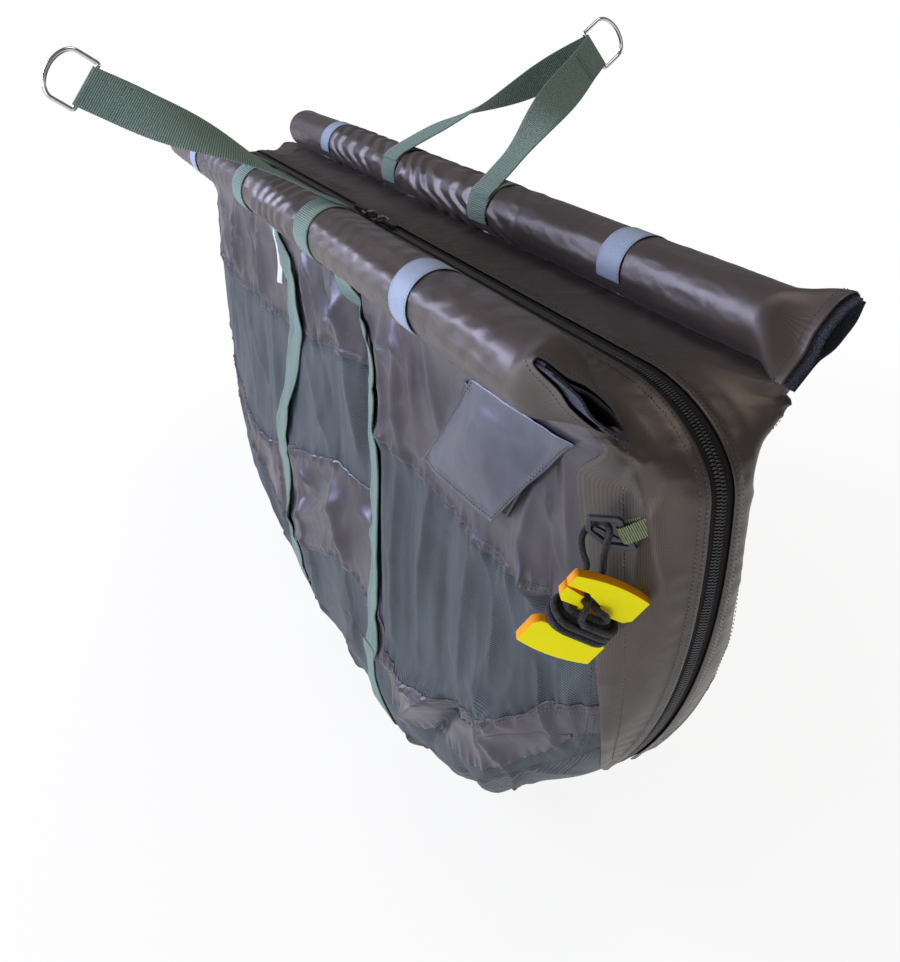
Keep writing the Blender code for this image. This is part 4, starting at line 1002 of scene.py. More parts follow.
def seam_share(u):
    """Place along a panel from -1 to 1, with the columns closer together at its ends."""
    return math.sin((u - 0.5) * math.pi) * (1 - 0.0008 / BOW_HALF_LENGTH)


def pucker(x, gap):
    """Small gathers at a distance from a seam, dying out within a few centimetres of it."""
    wave = math.sin(2 * math.pi * x / 0.0125 + 5 * noise.noise(Vector((x * 40, 2, 3))))
    return 0.0012 * math.exp(-(gap / 0.011) ** 2) * wave


def band_piece(side, name, seams, rows, material, columns, thickness, hems):
    """One band of a side panel, gathered a little at both of its seams.

    A hem makes the band lap over its neighbour at that seam by 3 mm and stand on it.
    """
    laps = [0.003 if hem else 0.0 for hem in hems]
    points, uvs = [[] for _ in range(rows + 1)], [[] for _ in range(rows + 1)]
    for column in range(columns + 1):
        along = seam_share(column / columns)
        high, low = (seam_level(side, seam, along) for seam in seams)
        for row in range(rows + 1):
            z = lerp(high + laps[0], low - laps[1], row / rows)
            x = along * side_end(z)
            lift = pucker(x, high - z) * smooth(PANEL_TOP, PANEL_TOP - 0.05, high)
            turned_in = side == NEAR and seams[1] == "band_bottom" and x > TURN_IN + 0.005
            lift += 0.0 if turned_in else pucker(x, z - low)
            lift += 0.0010 * max(smooth(high - 0.006, high - 0.001, z) * bool(hems[0]),
                                 smooth(low + 0.006, low + 0.001, z) * (hems[1] - turned_in))
            points[row].append(side_surface(side, x, z, lift))
            uvs[row].append((x, z))
    return grid_piece(name, points, uvs, material, thickness=thickness)


def belly_level(x, level):
    """Level of the belly seam at a place along the sling, closed in on from a level near it."""
    for _ in range(24):
        level = (level + belly_seam(x / side_end(level))) / 2
    return level


def lower_mesh_piece(columns, thickness):
    """Mesh below the near side's nylon band, from the band's seam down to the belly's."""
    points, uvs = [[] for _ in range(19)], [[] for _ in range(19)]
    for column in range(columns + 1):
        x = lerp(-0.545, TURN_IN - 0.006, column / columns)
        low = belly_level(x, -0.45)
        high = max(low + 0.0005, along_table(NEAR_SEAMS["band_bottom"], x)) + 0.001
        for row in range(19):
            z = lerp(high, low, row / 18)
            points[row].append(side_surface(NEAR, x, z, 0.0))
            uvs[row].append((x, z))
    return grid_piece("lower_mesh_cloth_near", points, uvs, material_of("mesh"),
                      thickness=thickness)


def lower_band_piece(columns, thickness):
    """The front of the near side's nylon band, where it turns in under the belly."""
    points, uvs = [[] for _ in range(15)], [[] for _ in range(15)]
    for column in range(columns + 1):
        x = lerp(TURN_IN + 0.006, 0.535, column / columns)
        high = belly_level(x, -0.40)
        for row in range(15):
            z = high - along_table(FOOT_WIDTHS, x) * row / 14
            lift = 0.0012 * smooth(0, 3, row) + pucker(x, (14 - row) * 0.003)
            points[row].append(side_surface(NEAR, x, z, lift))
            uvs[row].append((x, z))
    return grid_piece("lower_band_cloth_near", points, uvs, material_of("nylon"),
                      thickness=thickness)


class SLING_OT_side_panels(bpy.types.Operator):
    """Builds the nylon and mesh bands of both sides"""
    bl_idname = "sling.side_panels"
    bl_label = "Side panels"

    def execute(self, context):
        cloth = context.scene.sling.cloth
        bands = [("top_band", ("top", "mesh_top"), 52, "nylon", (False, True)),
                 ("mesh_window", ("mesh_top", "mesh_bottom"), 60, "mesh", (False, False)),
                 ("mid_band", ("mesh_bottom", "band_bottom"), 30, "nylon", (True, True))]
        for side, word in SIDES.items():
            columns = cloth.columns if side == NEAR else cloth.columns * 2 // 3
            for name, seams, rows, look, hems in bands:
                piece = band_piece(side, f"{name}_cloth_{word}", seams, rows, material_of(look),
                                   columns, cloth.thickness, hems)
                hang(piece, word, look, f"{name}_{word}")
            self.stitches(side, word)
        hang(lower_mesh_piece(200, cloth.thickness), "near", "mesh")
        hang(lower_band_piece(120, cloth.thickness), "near", "nylon")
        return {"FINISHED"}

    def stitches(self, side, word):
        lines = []
        for seam, gaps in (("mesh_top", (0.0015, 0.0060)), ("mesh_bottom", (-0.0015, -0.0060)),
                           ("band_bottom", (0.0025,))):
            for gap in gaps:
                line = []
                for step in range(301):
                    along = seam_share(step / 300) * 0.99
                    z = seam_level(side, seam, along) + gap
                    x = along * side_end(z)
                    if seam != "band_bottom" or side == FAR or x < TURN_IN - 0.005:
                        line.append(side_surface(side, x, z, 0.0016))
                lines.append(line)
        for inset in (0.0075, 0.0120) if side == NEAR else ():
            for end in (BACK, FRONT):
                line = []
                for step in range(120):
                    z = lerp(-0.050, -0.385, step / 119)
                    line.append(side_surface(side, end * (side_end(z) - inset), z, 0.0006))
                lines.append(line)
        piece = stitch_piece(f"panel_stitches_{word}", lines, material_of("dark_thread"),
                             radius=0.00042)
        hang(piece, word, "nylon")


class SLING_OT_belly(bpy.types.Operator):
    """Builds the mesh under the belly, which hangs in soft folds"""
    bl_idname = "sling.belly"
    bl_label = "Belly mesh"

    def execute(self, context):
        cloth = context.scene.sling.cloth
        corner_y = gusset_edge(BELLY_SEAM_END)
        corner_x = side_end(BELLY_SEAM_END)
        columns, rows = cloth.columns * 2 // 3, 56
        points, uvs = [], []
        for row in range(rows + 1):
            line, line_uv = [], []
            across = math.sin((row / rows - 0.5) * math.pi)
            for column in range(columns + 1):
                along = seam_share(column / columns)
                seam = belly_seam(along) - 0.0004
                reach = side_end(seam)
                seam_y = hull_y(along * reach, seam)
                if abs(across) > 0.9999:
                    point = side_surface(1 if across > 0 else -1, along * reach, seam)
                    x, y = along * reach, across * seam_y
                else:
                    shorter = side_end(gusset_level(abs(across) * corner_y)) - corner_x
                    x = along * (reach + shorter * abs(along) ** 12)
                    y = across * seam_y
                    point = belly_surface(x, y)
                line.append(point)
                line_uv.append((x, y + (point.z if abs(across) > 0.9 else 0)))
            points.append(line)
            uvs.append(line_uv)
        middle = rows // 2
        for word, half in (("near", slice(0, middle + 1)), ("far", slice(middle, rows + 1))):
            piece = grid_piece(f"belly_mesh_cloth_{word}", points[half], uvs[half],
                               material_of("mesh"), thickness=cloth.thickness)
            hang(piece, word, "mesh", "belly_mesh")
        return {"FINISHED"}


# Cover and zip

def strip_stations():
    """Stations of the cover, from the back tip over the top to the front tip."""
    tip = gusset_level(ZIP_TAPE_EDGE + 0.004)
    shoulder = [BOW_LEVEL + SHOULDER_HEIGHT * math.cos(math.radians(angle))
                for angle in np.linspace(0, 90, 25)]
    nose = [lerp(BOW_LEVEL, tip, step / 100) for step in range(1, 101)]
    levels = shoulder + nose
    top = [("top", share) for share in np.linspace(-1, 1, 281)[1:-1]]
    return [(BACK, z) for z in reversed(levels)] + top + [(FRONT, z) for z in levels]


def station_width(station):
    """How far the cover reaches from the zip to its seam at a station."""
    kind, value = station
    if kind == "top":
        return hull_y(value * hull_x(COVER_EDGE, COVER_LEVEL), COVER_LEVEL)
    return gusset_edge(value)


def station_point(side, station, y):
    """Point of the plain cover at a station, y out from the zip."""
    kind, value = station
    if kind == "top":
        across = min(COVER_EDGE, y * COVER_EDGE / max(0.001, station_width(station)))
        return Vector((value * hull_x(across, COVER_LEVEL), side * y, COVER_LEVEL))
    return Vector((kind * hull_x(y, value), side * y, value))


def cover_rows(side, inner, outer, columns, stations, rise):
    """Rows of points of a strip beside the zip, creased and raised; outer None is the seam."""
    base = []
    for station in stations:
        edge = outer
        if outer is None:
            edge = station_width(station) + (0.0004 if station[0] == "top" else 0.0035)
        base.append([station_point(side, station, lerp(inner, max(inner, edge), c / columns))
                     for c in range(columns + 1)])
    rows, uvs, length = [], [], 0.0
    for index, line in enumerate(base):
        before, after = base[max(0, index - 1)], base[min(len(base) - 1, index + 1)]
        if index:
            length += (line[0] - base[index - 1][0]).length
        row, row_uv = [], []
        for column, point in enumerate(line):
            tangent = after[column] - before[column]
            left, right = line[max(0, column - 1)], line[min(columns, column + 1)]
            normal = tangent.cross(right - left)
            if normal.length < 1e-12:
                normal = Vector((point.x, 0, 0.2))
            normal.normalize()
            if normal.dot(point - Vector((point.x * 0.6, 0, -0.25))) < 0:
                normal.negate()
            height = drape(point) + rise(length, abs(point.y), point)
            if outer is None and stations[index][0] != "top":
                edge = station_width(stations[index])
                height += 0.0012 * smooth(edge - 0.006, edge, abs(point.y))
            row.append(fill_corner(point + normal * height))
            row_uv.append((length, abs(point.y)))
        rows.append(row)
        uvs.append(row_uv)
    return rows, uvs


def zip_margin(length, y, point):
    """Puckered fold of cloth sewn down beside the zip, and the gathers of the seam past it."""
    fold = 0.0018 * smooth(0.021, 0.013, y)
    uneven = 0.5 + noise.noise(Vector((length * 11, 5, 2)))
    at_end = 0.25 if point.z < BOW_LEVEL else 1.0
    gather = 0.0019 * at_end * uneven * math.exp(-((y - 0.023) / 0.009) ** 2)
    wander = noise.noise(Vector((length * 30, y * 60, 1)))
    return fold + gather * math.sin(2 * math.pi * length / 0.017 + 4 * wander)


def seam_margin(length, y, point):
    """Stitches stand a little above the cloth beside the zip."""
    return zip_margin(length, y, point) + 0.0007


def tape_margin(length, y, point):
    """The zip's tape lies a little below the cloth."""
    return -0.0004


class SLING_OT_cover(bpy.types.Operator):
    """Builds the cover and end gussets on both sides of the zip, with their seams"""
    bl_idname = "sling.cover"
    bl_label = "Cover"

    def execute(self, context):
        cloth = context.scene.sling.cloth
        stations = strip_stations()
        for side, word in SIDES.items():
            rows, uvs = cover_rows(side, ZIP_TAPE_EDGE - 0.0004, None, 34, stations, zip_margin)
            piece = grid_piece(f"cover_cloth_{word}", rows, uvs, material_of("cover"),
                               thickness=cloth.thickness)
            hang(piece, word, "nylon", f"cover_{word}")
            lines = []
            for y in (0.0125, 0.0175):
                line, _ = cover_rows(side, y, y + 0.001, 1, stations[12:-12], seam_margin)
                lines.append([row[0] for row in line])
            for inset in (0.0015, 0.0065):
                edge = []
                for station in stations[10:-10]:
                    point = station_point(side, station,
                                          max(0.012, station_width(station) - inset))
                    out = Vector((0, 0, 1)) if station[0] == "top" else Vector((station[0], 0, 0))
                    edge.append(fill_corner(point + out * (drape(point) + 0.0008)))
                lines.append(edge)
            piece = stitch_piece(f"cover_stitches_{word}", lines, material_of("dark_thread"),
                                 radius=0.00042)
            hang(piece, word, "nylon")
        return {"FINISHED"}


class SLING_OT_zip(bpy.types.Operator):
    """Builds the zip: woven tapes and rows of coil teeth"""
    bl_idname = "sling.zip"
    bl_label = "Zip"

    def execute(self, context):
        stations = strip_stations()
        for side, word in SIDES.items():
            rows, uvs = cover_rows(side, 0.0002, ZIP_TAPE_EDGE + 0.0006, 5, stations, tape_margin)
            piece = grid_piece(f"zip_tape_cloth_{word}", rows, uvs, material_of("zip_tape"),
                               thickness=0.0007)
            hang(piece, word, "zip_tape", f"zip_tape_{word}")
            self.teeth(side, word, stations)
        return {"FINISHED"}

    def teeth(self, side, word, stations):
        """Coil teeth, one every 2.6 mm, each a short bent bar across the tape's edge."""
        line = [station_point(side, station, 0.0022) for station in stations]
        verts, faces = [], []
        travel = 0.0
        want = TOOTH_PITCH / 2 if side == NEAR else 0.0
        for before, after in zip(line, line[1:]):
            span = (after - before).length
            while want < travel + span:
                spot = before.lerp(after, (want - travel) / span)
                along = (after - before).normalized()
                out = along.cross(Vector((0, -side, 0))).normalized()
                if out.dot(spot - Vector((spot.x * 0.6, 0, -0.25))) < 0:
                    out.negate()
                self.tooth(verts, faces, spot, along, out, side)
                want += TOOTH_PITCH
            travel += span
        piece = solid_piece(f"zip_teeth_{word}", verts, faces, material_of("zip_coil"))
        hang(piece, word, "zip_coil", f"zip_coil_{word}")

    @staticmethod
    def tooth(verts, faces, spot, along, out, side):
        """Adds one bent bar, its ends closed."""
        inward = Vector((0, -side, 0))
        profile = [(-0.0021, 0.0000), (-0.0013, 0.0009), (0.0004, 0.0012), (0.0020, 0.0009),
                   (0.0027, 0.0000)]
        half = 0.0007
        base = len(verts)
        for across, height in profile:
            middle = spot + inward * across + out * height
            drop = out * 0.0011
            verts.extend([middle - along * half, middle + along * half,
                          middle + along * half - drop, middle - along * half - drop])
        for ring in range(len(profile) - 1):
            first = base + ring * 4
            for corner in range(4):
                after = (corner + 1) % 4
                faces.append((first + corner, first + after, first + 4 + after,
                              first + 4 + corner))
        end = base + 4 * (len(profile) - 1)
        faces.append((base + 3, base + 2, base + 1, base))
        faces.append((end, end + 1, end + 2, end + 3))


# Sleeves of the floats

def mouth_axes(side):
    """Directions of a pressed mouth's long and short way, its long way turned by 45 degrees."""
    long_way = Vector((0, -side * math.cos(math.radians(45)), -math.sin(math.radians(45))))
    return long_way, Vector((1, 0, 0)).cross(long_way)


def sleeve_section(pressed, angle):
    """Long and short part of a sleeve's section: round, or pressed into a flat mouth."""
    flat = 0.0047
    wide = SLEEVE_RADIUS * math.pi / 2 - flat * 0.6
    ease = pressed * pressed * (3 - 2 * pressed)
    power = lerp(1.0, 0.5, ease)
    long_part = math.copysign(abs(math.cos(angle)) ** power, math.cos(angle))
    short_part = math.copysign(abs(math.sin(angle)) ** power, math.sin(angle))
    return (lerp(SLEEVE_RADIUS, wide, ease) * long_part,
            lerp(SLEEVE_RADIUS, flat, ease) * short_part)


def gape(side, reach):
    """Half width by which a mouth gapes; reach runs from -1 at its outer top to 1 below."""
    middle, width, most = (0.35, 0.62, 0.0045) if side == NEAR else (-0.35, 0.60, 0.0058)
    return most * math.exp(-((reach - middle) / width) ** 4 * 1.6)


def pleat_wave(place):
    """Slanting pleat: a slow rise and a quick fall, from 0 to 1."""
    share = place % 1.0
    return share / 0.68 if share < 0.68 else (1 - share) / 0.32


def sleeve_crease(side, x, turn):
    """Creases of a sleeve: gathers between the straps, pinched under the webbing."""
    wander = noise.noise(Vector((x * 9, math.cos(turn), math.sin(turn) + side)))
    if side == FAR:
        gathered = smooth(-0.40, -0.33, x) * smooth(0.26, 0.10, x)
        height, pitch, slant = 0.0030, 0.041, 0.55
    else:
        gathered = max(smooth(-0.16, -0.10, x) * smooth(0.15, 0.10, x), 0.30)
        gathered = max(gathered, 0.55 * smooth(-0.46, -0.36, x) * smooth(-0.20, -0.25, x))
        height, pitch, slant = 0.0026, 0.033, -0.60
    pleat = pleat_wave(x / pitch + slant * math.sin(turn) + 0.9 * wander) - 0.5
    bend = noise.noise(Vector((x * 6, 2.0 * math.cos(turn), 2.0 * math.sin(turn))))
    fine = ridge(x * 30, 3.2 * math.cos(turn), 3.2 * math.sin(turn)) - 0.3
    pinch = 0.0
    for strap in (-STRAP_POSITION, STRAP_POSITION):
        pinch += math.exp(-((x - strap) / 0.024) ** 4)
    for band in (-BAND_POSITION, BAND_POSITION):
        pinch += math.exp(-((x - band) / 0.019) ** 4)
    pinch = min(1.0, pinch)
    height = height * gathered * pleat + 0.0016 * bend + 0.0004 * fine
    return height * (1 - pinch) - 0.0004 * pinch


class SLING_OT_sleeves(bpy.types.Operator):
    """Builds the sleeves round the floats, gathered between the straps and pressed at the mouth"""
    bl_idname = "sling.sleeves"
    bl_label = "Float sleeves"

    def execute(self, context):
        cloth = context.scene.sling.cloth
        for side, word in SIDES.items():
            long_way, short_way = mouth_axes(side)
            stations = [(-FOAM_END - 0.011, 0.0, 0.0), (-FOAM_END - 0.0105, 0.45, 0.0),
                        (-FOAM_END - 0.009, 0.80, 0.0), (-FOAM_END - 0.0055, 0.96, 0.0)]
            stations += [(x, 1.0, 0.0) for x in np.linspace(-FOAM_END, FOAM_END, 420)]
            stations += [(lerp(FOAM_END, MOUTH_END, s), 1.0, s) for s in np.linspace(0.05, 1, 20)]
            points, uvs, sides = [], [], 84
            for x, size, pressed in stations:
                line, line_uv = [], []
                for column in range(sides + 1):
                    turn = 2 * math.pi * column / sides
                    long_part, short_part = sleeve_section(pressed, turn)
                    wide = gape(side, long_part / MOUTH_HALF_WIDTH) * smooth(0.35, 1.0, pressed)
                    short_part += math.copysign(wide, short_part) * (abs(math.sin(turn)) > 0.05)
                    spread = (long_way * long_part + short_way * short_part) * size
                    grow = 1.0
                    if spread.length > 1e-6 and abs(x) < FOAM_END:
                        world = math.atan2(spread.z, side * spread.y)
                        fade = smooth(FOAM_END, FOAM_END - 0.03, abs(x))
                        grow += sleeve_crease(side, x, world) * fade / spread.length
                    line.append(Vector((x, side * FLOAT_Y, 0)) + spread * grow)
                    line_uv.append((x, column / sides * 2 * math.pi * SLEEVE_RADIUS))
                points.append(line)
                uvs.append(line_uv)
            piece = grid_piece(f"sleeve_cloth_{word}", points, uvs, material_of("sleeve"),
                               thickness=cloth.thickness, inside=Vector((0, side * FLOAT_Y, 0)))
            dress(piece, f"{word}_side", "nylon", f"float_sleeve_{word}")
            self.mouth_stitches(side, word)
        return {"FINISHED"}

    @staticmethod
    def mouth_stitches(side, word):
        """One row of stitches round the mouth, most of the way to its end."""
        long_way, short_way = mouth_axes(side)
        pressed, line = 0.8, []
        for step in range(61):
            long_part, short_part = sleeve_section(pressed, 2 * math.pi * step / 60)
            wide = gape(side, long_part / MOUTH_HALF_WIDTH) * smooth(0.35, 1.0, pressed)
            short_part += math.copysign(wide, short_part)
            spread = long_way * long_part + short_way * short_part
            line.append(Vector((lerp(FOAM_END, MOUTH_END, pressed), side * FLOAT_Y, 0))
                        + spread * 1.02)
        stitches = stitch_piece(f"mouth_stitches_{word}", [line], material_of("dark_thread"))
        dress(stitches, f"{word}_side", "nylon")


class SLING_OT_mouth_strips(bpy.types.Operator):
    """Builds the hook-and-loop strips in the sleeves' mouths"""
    bl_idname = "sling.mouth_strips"
    bl_label = "Mouth strips"

    def execute(self, context):
        for side, word in SIDES.items():
            long_way, short_way = mouth_axes(side)
            for layer, name, look in ((-1, "velcro_hook", "hook"), (1, "velcro_loop", "nap")):
                rows = []
                for step in range(41):
                    reach = lerp(-1.0, 1.0, step / 40)
                    row = []
                    for column in range(5):
                        shows = 0.0200 if side == NEAR and layer < 0 else 0.0080
                        x = lerp(MOUTH_END - 0.008, MOUTH_END + shows, column / 4)
                        apart = 0.0011 + gape(side, reach) * lerp(0.75, 1.0, column / 4)
                        row.append(Vector((x, side * FLOAT_Y, 0)) + long_way * (reach * 0.0385)
                                   + short_way * (layer * apart))
                    rows.append(row)
                piece = ribbon_piece(f"{name}_strip_{word}", rows, material_of(look), 0.0017)
                dress(piece, f"{word}_side", "velcro", f"{name}_{word}")
        return {"FINISHED"}


# Webbing

def around_float(side, radius, degrees, x):
    """Point round a float, its angle measured from straight out over the top."""
    angle = math.radians(degrees)
    out = Vector((0, side, 0))
    return (Vector((x, side * FLOAT_Y, 0)) + out * (radius * math.cos(angle))
            + Vector((0, 0, 1)) * (radius * math.sin(angle)))


def across_points(centre, width, axis=Vector((1, 0, 0)), columns=6):
    """One row across webbing, straight along an axis."""
    return [centre + axis * (width * (c / columns - 0.5)) for c in range(columns + 1)]


class SLING_OT_straps(bpy.types.Operator):
    """Builds the carrying straps round the floats, down the sides and under the belly"""
    bl_idname = "sling.straps"
    bl_label = "Straps"

    def execute(self, context):
        webbing = context.scene.sling.webbing
        width, thick = webbing.width, webbing.thickness
        for end, end_word in ENDS.items():
            for side, word in SIDES.items():
                rows = self.side_rows(side, end, width)
                piece = ribbon_piece(f"side_strap_webbing_{end_word}_{word}", rows,
                                     material_of("webbing"), thick)
                hang(piece, word, "webbing", f"side_strap_{end_word}_{word}")
                edges = [[row[c] + Vector((0, side * 0.0011, 0)) for row in rows[-88:]]
                         for c in (1, 5)]
                stitches = stitch_piece(f"strap_stitches_{end_word}_{word}", edges,
                                        material_of("dark_thread"))
                hang(stitches, word, "webbing")
            self.belly_strap(end, end_word, width, thick)
        return {"FINISHED"}

    def side_rows(self, side, end, width):
        """Across points of a side strap, from the float's top down to the belly seam."""
        radius = SLEEVE_RADIUS + CLEARANCE + WEBBING / 2
        start = end * STRAP_POSITION
        rows = [across_points(around_float(side, radius, angle, start), width)
                for angle in range(200, -92, -6)]
        axis = Vector((start, side * FLOAT_Y, 0))
        for outward, height in ((-0.0062, -0.0308), (-0.0100, -0.0345), (-0.0109, -0.0410)):
            rows.append(across_points(axis + Vector((0, side * outward, height)), width))
        bottom = strap_x(side, end, STRAP_BOTTOM)
        lowest = belly_seam(bottom / side_end(STRAP_BOTTOM)) + 0.0006
        for step in range(1, 121):
            z = lerp(-0.046, lowest, step / 120)
            settle = smooth(-0.045, -0.080, z)
            middle = lerp(start, strap_x(side, end, z), settle)
            tilt = 0.0
            if side == NEAR:
                free = settle * smooth(lowest, lowest + 0.05, z)
                tilt = free * (0.0032 + 0.0012 * math.sin(z * 34) if end == FRONT
                               else 0.0025 + 0.0025 * math.sin(z * 40))
            rows.append([side_surface(side, middle + width * (c / 6 - 0.5), z,
                                      0.0029 - 0.001 * settle + tilt * c / 6) for c in range(7)])
        return rows

    def belly_strap(self, end, end_word, width, thick):
        middle = -STRAP_POSITION if end == BACK else STRAP_POSITION + FRONT_STRAP_LEAN
        seam = belly_seam(middle / side_end(STRAP_BOTTOM)) - 0.0008
        rows = [[side_surface(NEAR, middle + width * (c / 6 - 0.5), seam, 0.0019)
                 for c in range(7)]]
        for step in range(1, 60):
            share = math.sin(math.pi * (step / 60 - 0.5))
            rows.append([])
            for column in range(7):
                x = middle + width * (column / 6 - 0.5)
                rows[-1].append(belly_surface(x, hull_y(x, seam) * share, 0.0019))
        rows.append([side_surface(FAR, middle + width * (c / 6 - 0.5), seam, 0.0019)
                     for c in range(7)])
        piece = ribbon_piece(f"belly_strap_webbing_{end_word}", rows, material_of("webbing"),
                             thick)
        dress(piece, "belly", "webbing", f"belly_strap_{end_word}")


class SLING_OT_bands(bpy.types.Operator):
    """Builds the reflective bands on the sleeves, stitched along both edges"""
    bl_idname = "sling.bands"
    bl_label = "Reflective bands"

    def execute(self, context):
        radius = SLEEVE_RADIUS + 0.0009
        for side, word in SIDES.items():
            for end, end_word in ENDS.items():
                rows = [across_points(around_float(side, radius, angle, end * BAND_POSITION),
                                      0.034) for angle in range(195, -46, -5)]
                piece = ribbon_piece(f"reflective_tape_{end_word}_{word}", rows,
                                     material_of("reflective"), 0.0006)
                dress(piece, f"{word}_side", "reflective", f"reflective_band_{end_word}_{word}")
                edges = [[around_float(side, radius + 0.0005, angle, end * BAND_POSITION + shift)
                          for angle in range(193, -44, -4)] for shift in (-0.0145, 0.0145)]
                stitches = stitch_piece(f"tape_stitches_{end_word}_{word}", edges,
                                        material_of("pale_thread"), 0.0030, 0.6, 0.00025)
                dress(stitches, f"{word}_side", "reflective")
        return {"FINISHED"}


def handle_axes(side):
    """Direction from a float to its ring, and the direction of the ring's bar."""
    out, up = Vector((0, side, 0)), Vector((0, 0, 1))
    angle = math.atan2(HANDLE_RISE, HANDLE_REACH)
    return (out * math.cos(angle) + up * math.sin(angle),
            up * math.cos(angle) - out * math.sin(angle))


def bar_centre(side):
    """Middle of a ring's bar."""
    return Vector((0, side * (FLOAT_Y + HANDLE_REACH), HANDLE_RISE))


def bar_radius():
    """From the middle of a ring's bar to the middle of the webbing round it."""
    return RING_WIRE / 2 + CLEARANCE + WEBBING / 2


def bar_point(side, end, angle, lift=0.0):
    """Point of the webbing round a ring's bar."""
    heading, _ = handle_axes(side)
    offset = Vector((end * math.cos(angle), 0, 0)) + heading * math.sin(angle)
    return bar_centre(side) + offset * (bar_radius() + lift)


def leg_angle():
    """Angle round the bar, from the float's direction, at which a leg reaches it."""
    span = math.hypot(HANDLE_REACH, HANDLE_RISE)
    length = math.hypot(STRAP_POSITION, span)
    return math.acos(bar_radius() / length) - math.atan2(span, STRAP_POSITION)


def handle_leg(side, end, width, steps=48):
    """Rows across one leg, from its foot on the strap up to the ring, turning a quarter."""
    _, bar = handle_axes(side)
    foot_radius = SLEEVE_RADIUS + 2 * CLEARANCE + 1.5 * WEBBING
    span = math.hypot(HANDLE_REACH, HANDLE_RISE)
    leaves = math.degrees(math.atan2(HANDLE_RISE, HANDLE_REACH) + math.acos(foot_radius / span))
    x = end * STRAP_POSITION
    along_float = Vector((-end, 0, 0))
    rows = [across_points(around_float(side, foot_radius, lerp(145, leaves, step / 8), x), width,
                          along_float, 8) for step in range(9)]
    start = around_float(side, foot_radius, leaves, x)
    finish = bar_point(side, end, leg_angle())
    for step in range(1, steps):
        share = step / steps
        turn = math.pi / 2 * smooth(0.18, 0.92, share)
        across = along_float * math.cos(turn) + bar * math.sin(turn)
        face = across.cross(finish - start).normalized()
        sag = 0.0040 * math.sin(math.pi * share) * math.sin(5 * share + side)
        row = across_points(start.lerp(finish, share), width, across, 8)
        cup = 0.0018 * math.sin(math.pi * share)
        rows.append([point + face * (sag + cup * (1 - (c / 4 - 1) ** 2))
                     for c, point in enumerate(row)])
    return rows


class SLING_OT_handles(bpy.types.Operator):
    """Builds the two webbing handles, each one length of webbing round its ring"""
    bl_idname = "sling.handles"
    bl_label = "Handles"

    def execute(self, context):
        webbing = context.scene.sling.webbing
        width, first = webbing.width, leg_angle()
        for side, word in SIDES.items():
            _, bar = handle_axes(side)
            loop = [across_points(bar_point(side, FRONT, lerp(math.pi - first, first, step / 16)),
                                  width, bar, 8) for step in range(17)]
            back = handle_leg(side, BACK, width)
            front = handle_leg(side, FRONT, width)
            piece = ribbon_piece(f"handle_webbing_{word}", back + loop + front[::-1],
                                 material_of("webbing"), webbing.thickness)
            dress(piece, f"{word}_handle", "webbing", f"handle_{word}")
            self.ring_stitches(word, back, front)
        return {"FINISHED"}

    def ring_stitches(self, word, back, front):
        """Two dark rows of stitches across each leg, a few centimetres from the ring."""
        lines = []
        for leg in (back, front):
            for index in (-7, -6):
                row = leg[index]
                face = (row[-1] - row[0]).cross(leg[index + 1][4] - leg[index - 1][4]).normalized()
                for layer in (-0.0011, 0.0011):
                    lines.append([row[0].lerp(row[-1], lerp(0.06, 0.94, s / 12)) + face * layer
                                  for s in range(13)])
        piece = stitch_piece(f"handle_stitches_{word}", lines, material_of("dark_thread"),
                             0.0030, 0.75, 0.0006)
        dress(piece, f"{word}_handle", "webbing")


class SLING_OT_rings(bpy.types.Operator):
    """Builds the steel D-rings"""
    bl_idname = "sling.rings"
    bl_label = "D-rings"

    def execute(self, context):
        for side, word in SIDES.items():
            heading, across = handle_axes(side)
            half, corner = (RING_INNER_WIDTH + RING_WIRE) / 2, 0.0025
            bow = RING_DEPTH - half * 0.55
            spots = [(lerp(-half + corner, half - corner, s), 0.0) for s in np.linspace(0, 1, 9)]
            spots += [(half - corner + corner * math.sin(a), corner - corner * math.cos(a))
                      for a in np.linspace(0.3, math.pi / 2, 5)]
            spots += [(half * math.cos(a), bow + half * 0.62 * math.sin(a))
                      for a in np.linspace(0, math.pi, 33)]
            spots += [(-half + corner - corner * math.cos(a), corner - corner * math.sin(a))
                      for a in np.linspace(0, math.pi / 2 - 0.3, 5)]
            path = [bar_centre(side) + across * x + heading * y for x, y in spots]
            piece = tube_piece(f"d_ring_wire_{word}", path, RING_WIRE / 2, 20,
                               material_of("steel"), closed=True)
            dress(piece, f"{word}_ring", "steel", f"d_ring_{word}")
        return {"FINISHED"}


# Pocket and tab

def pocket_lift(x, z):
    """How far the pocket bags out from the side, most in its middle and not under its top."""
    down = max(0.0, min(1.0, (POCKET_TOP - z) / (POCKET_TOP - POCKET_BOTTOM)))
    along = (x - POCKET_SLANT * down - POCKET_BACK) / (POCKET_FRONT - POCKET_BACK)
    along = max(0.0, min(1.0, along))
    swell = 0.012 * math.sin(math.pi * along) * math.sin(math.pi * lerp(0.22, 1.0, down))
    return swell * smooth(FLAP_TOP, -0.072, z)


def patch_rows(back, front, top, bottom, slant, lift, columns=36, count=30, stand=0.0):
    """Rows of a sewn-on patch; slant moves its lower edge along the side, stand lifts it."""
    rows, uvs = [], []
    for row in range(count + 1):
        z = lerp(top, bottom, row / count)
        line, line_uv = [], []
        for column in range(columns + 1):
            share = column / columns
            x = lerp(back, front, share) + slant * row / count
            crease = 0.0006 * (ridge(x * 40, 3.0, z * 28 + x * 20) - 0.3)
            height = pocket_lift(x, z) + crease + stand * (row / count) ** 1.3
            line.append(side_surface(NEAR, x, z, lift + height))
            line_uv.append((x, z))
        rows.append(line)
        uvs.append(line_uv)
    return rows, uvs


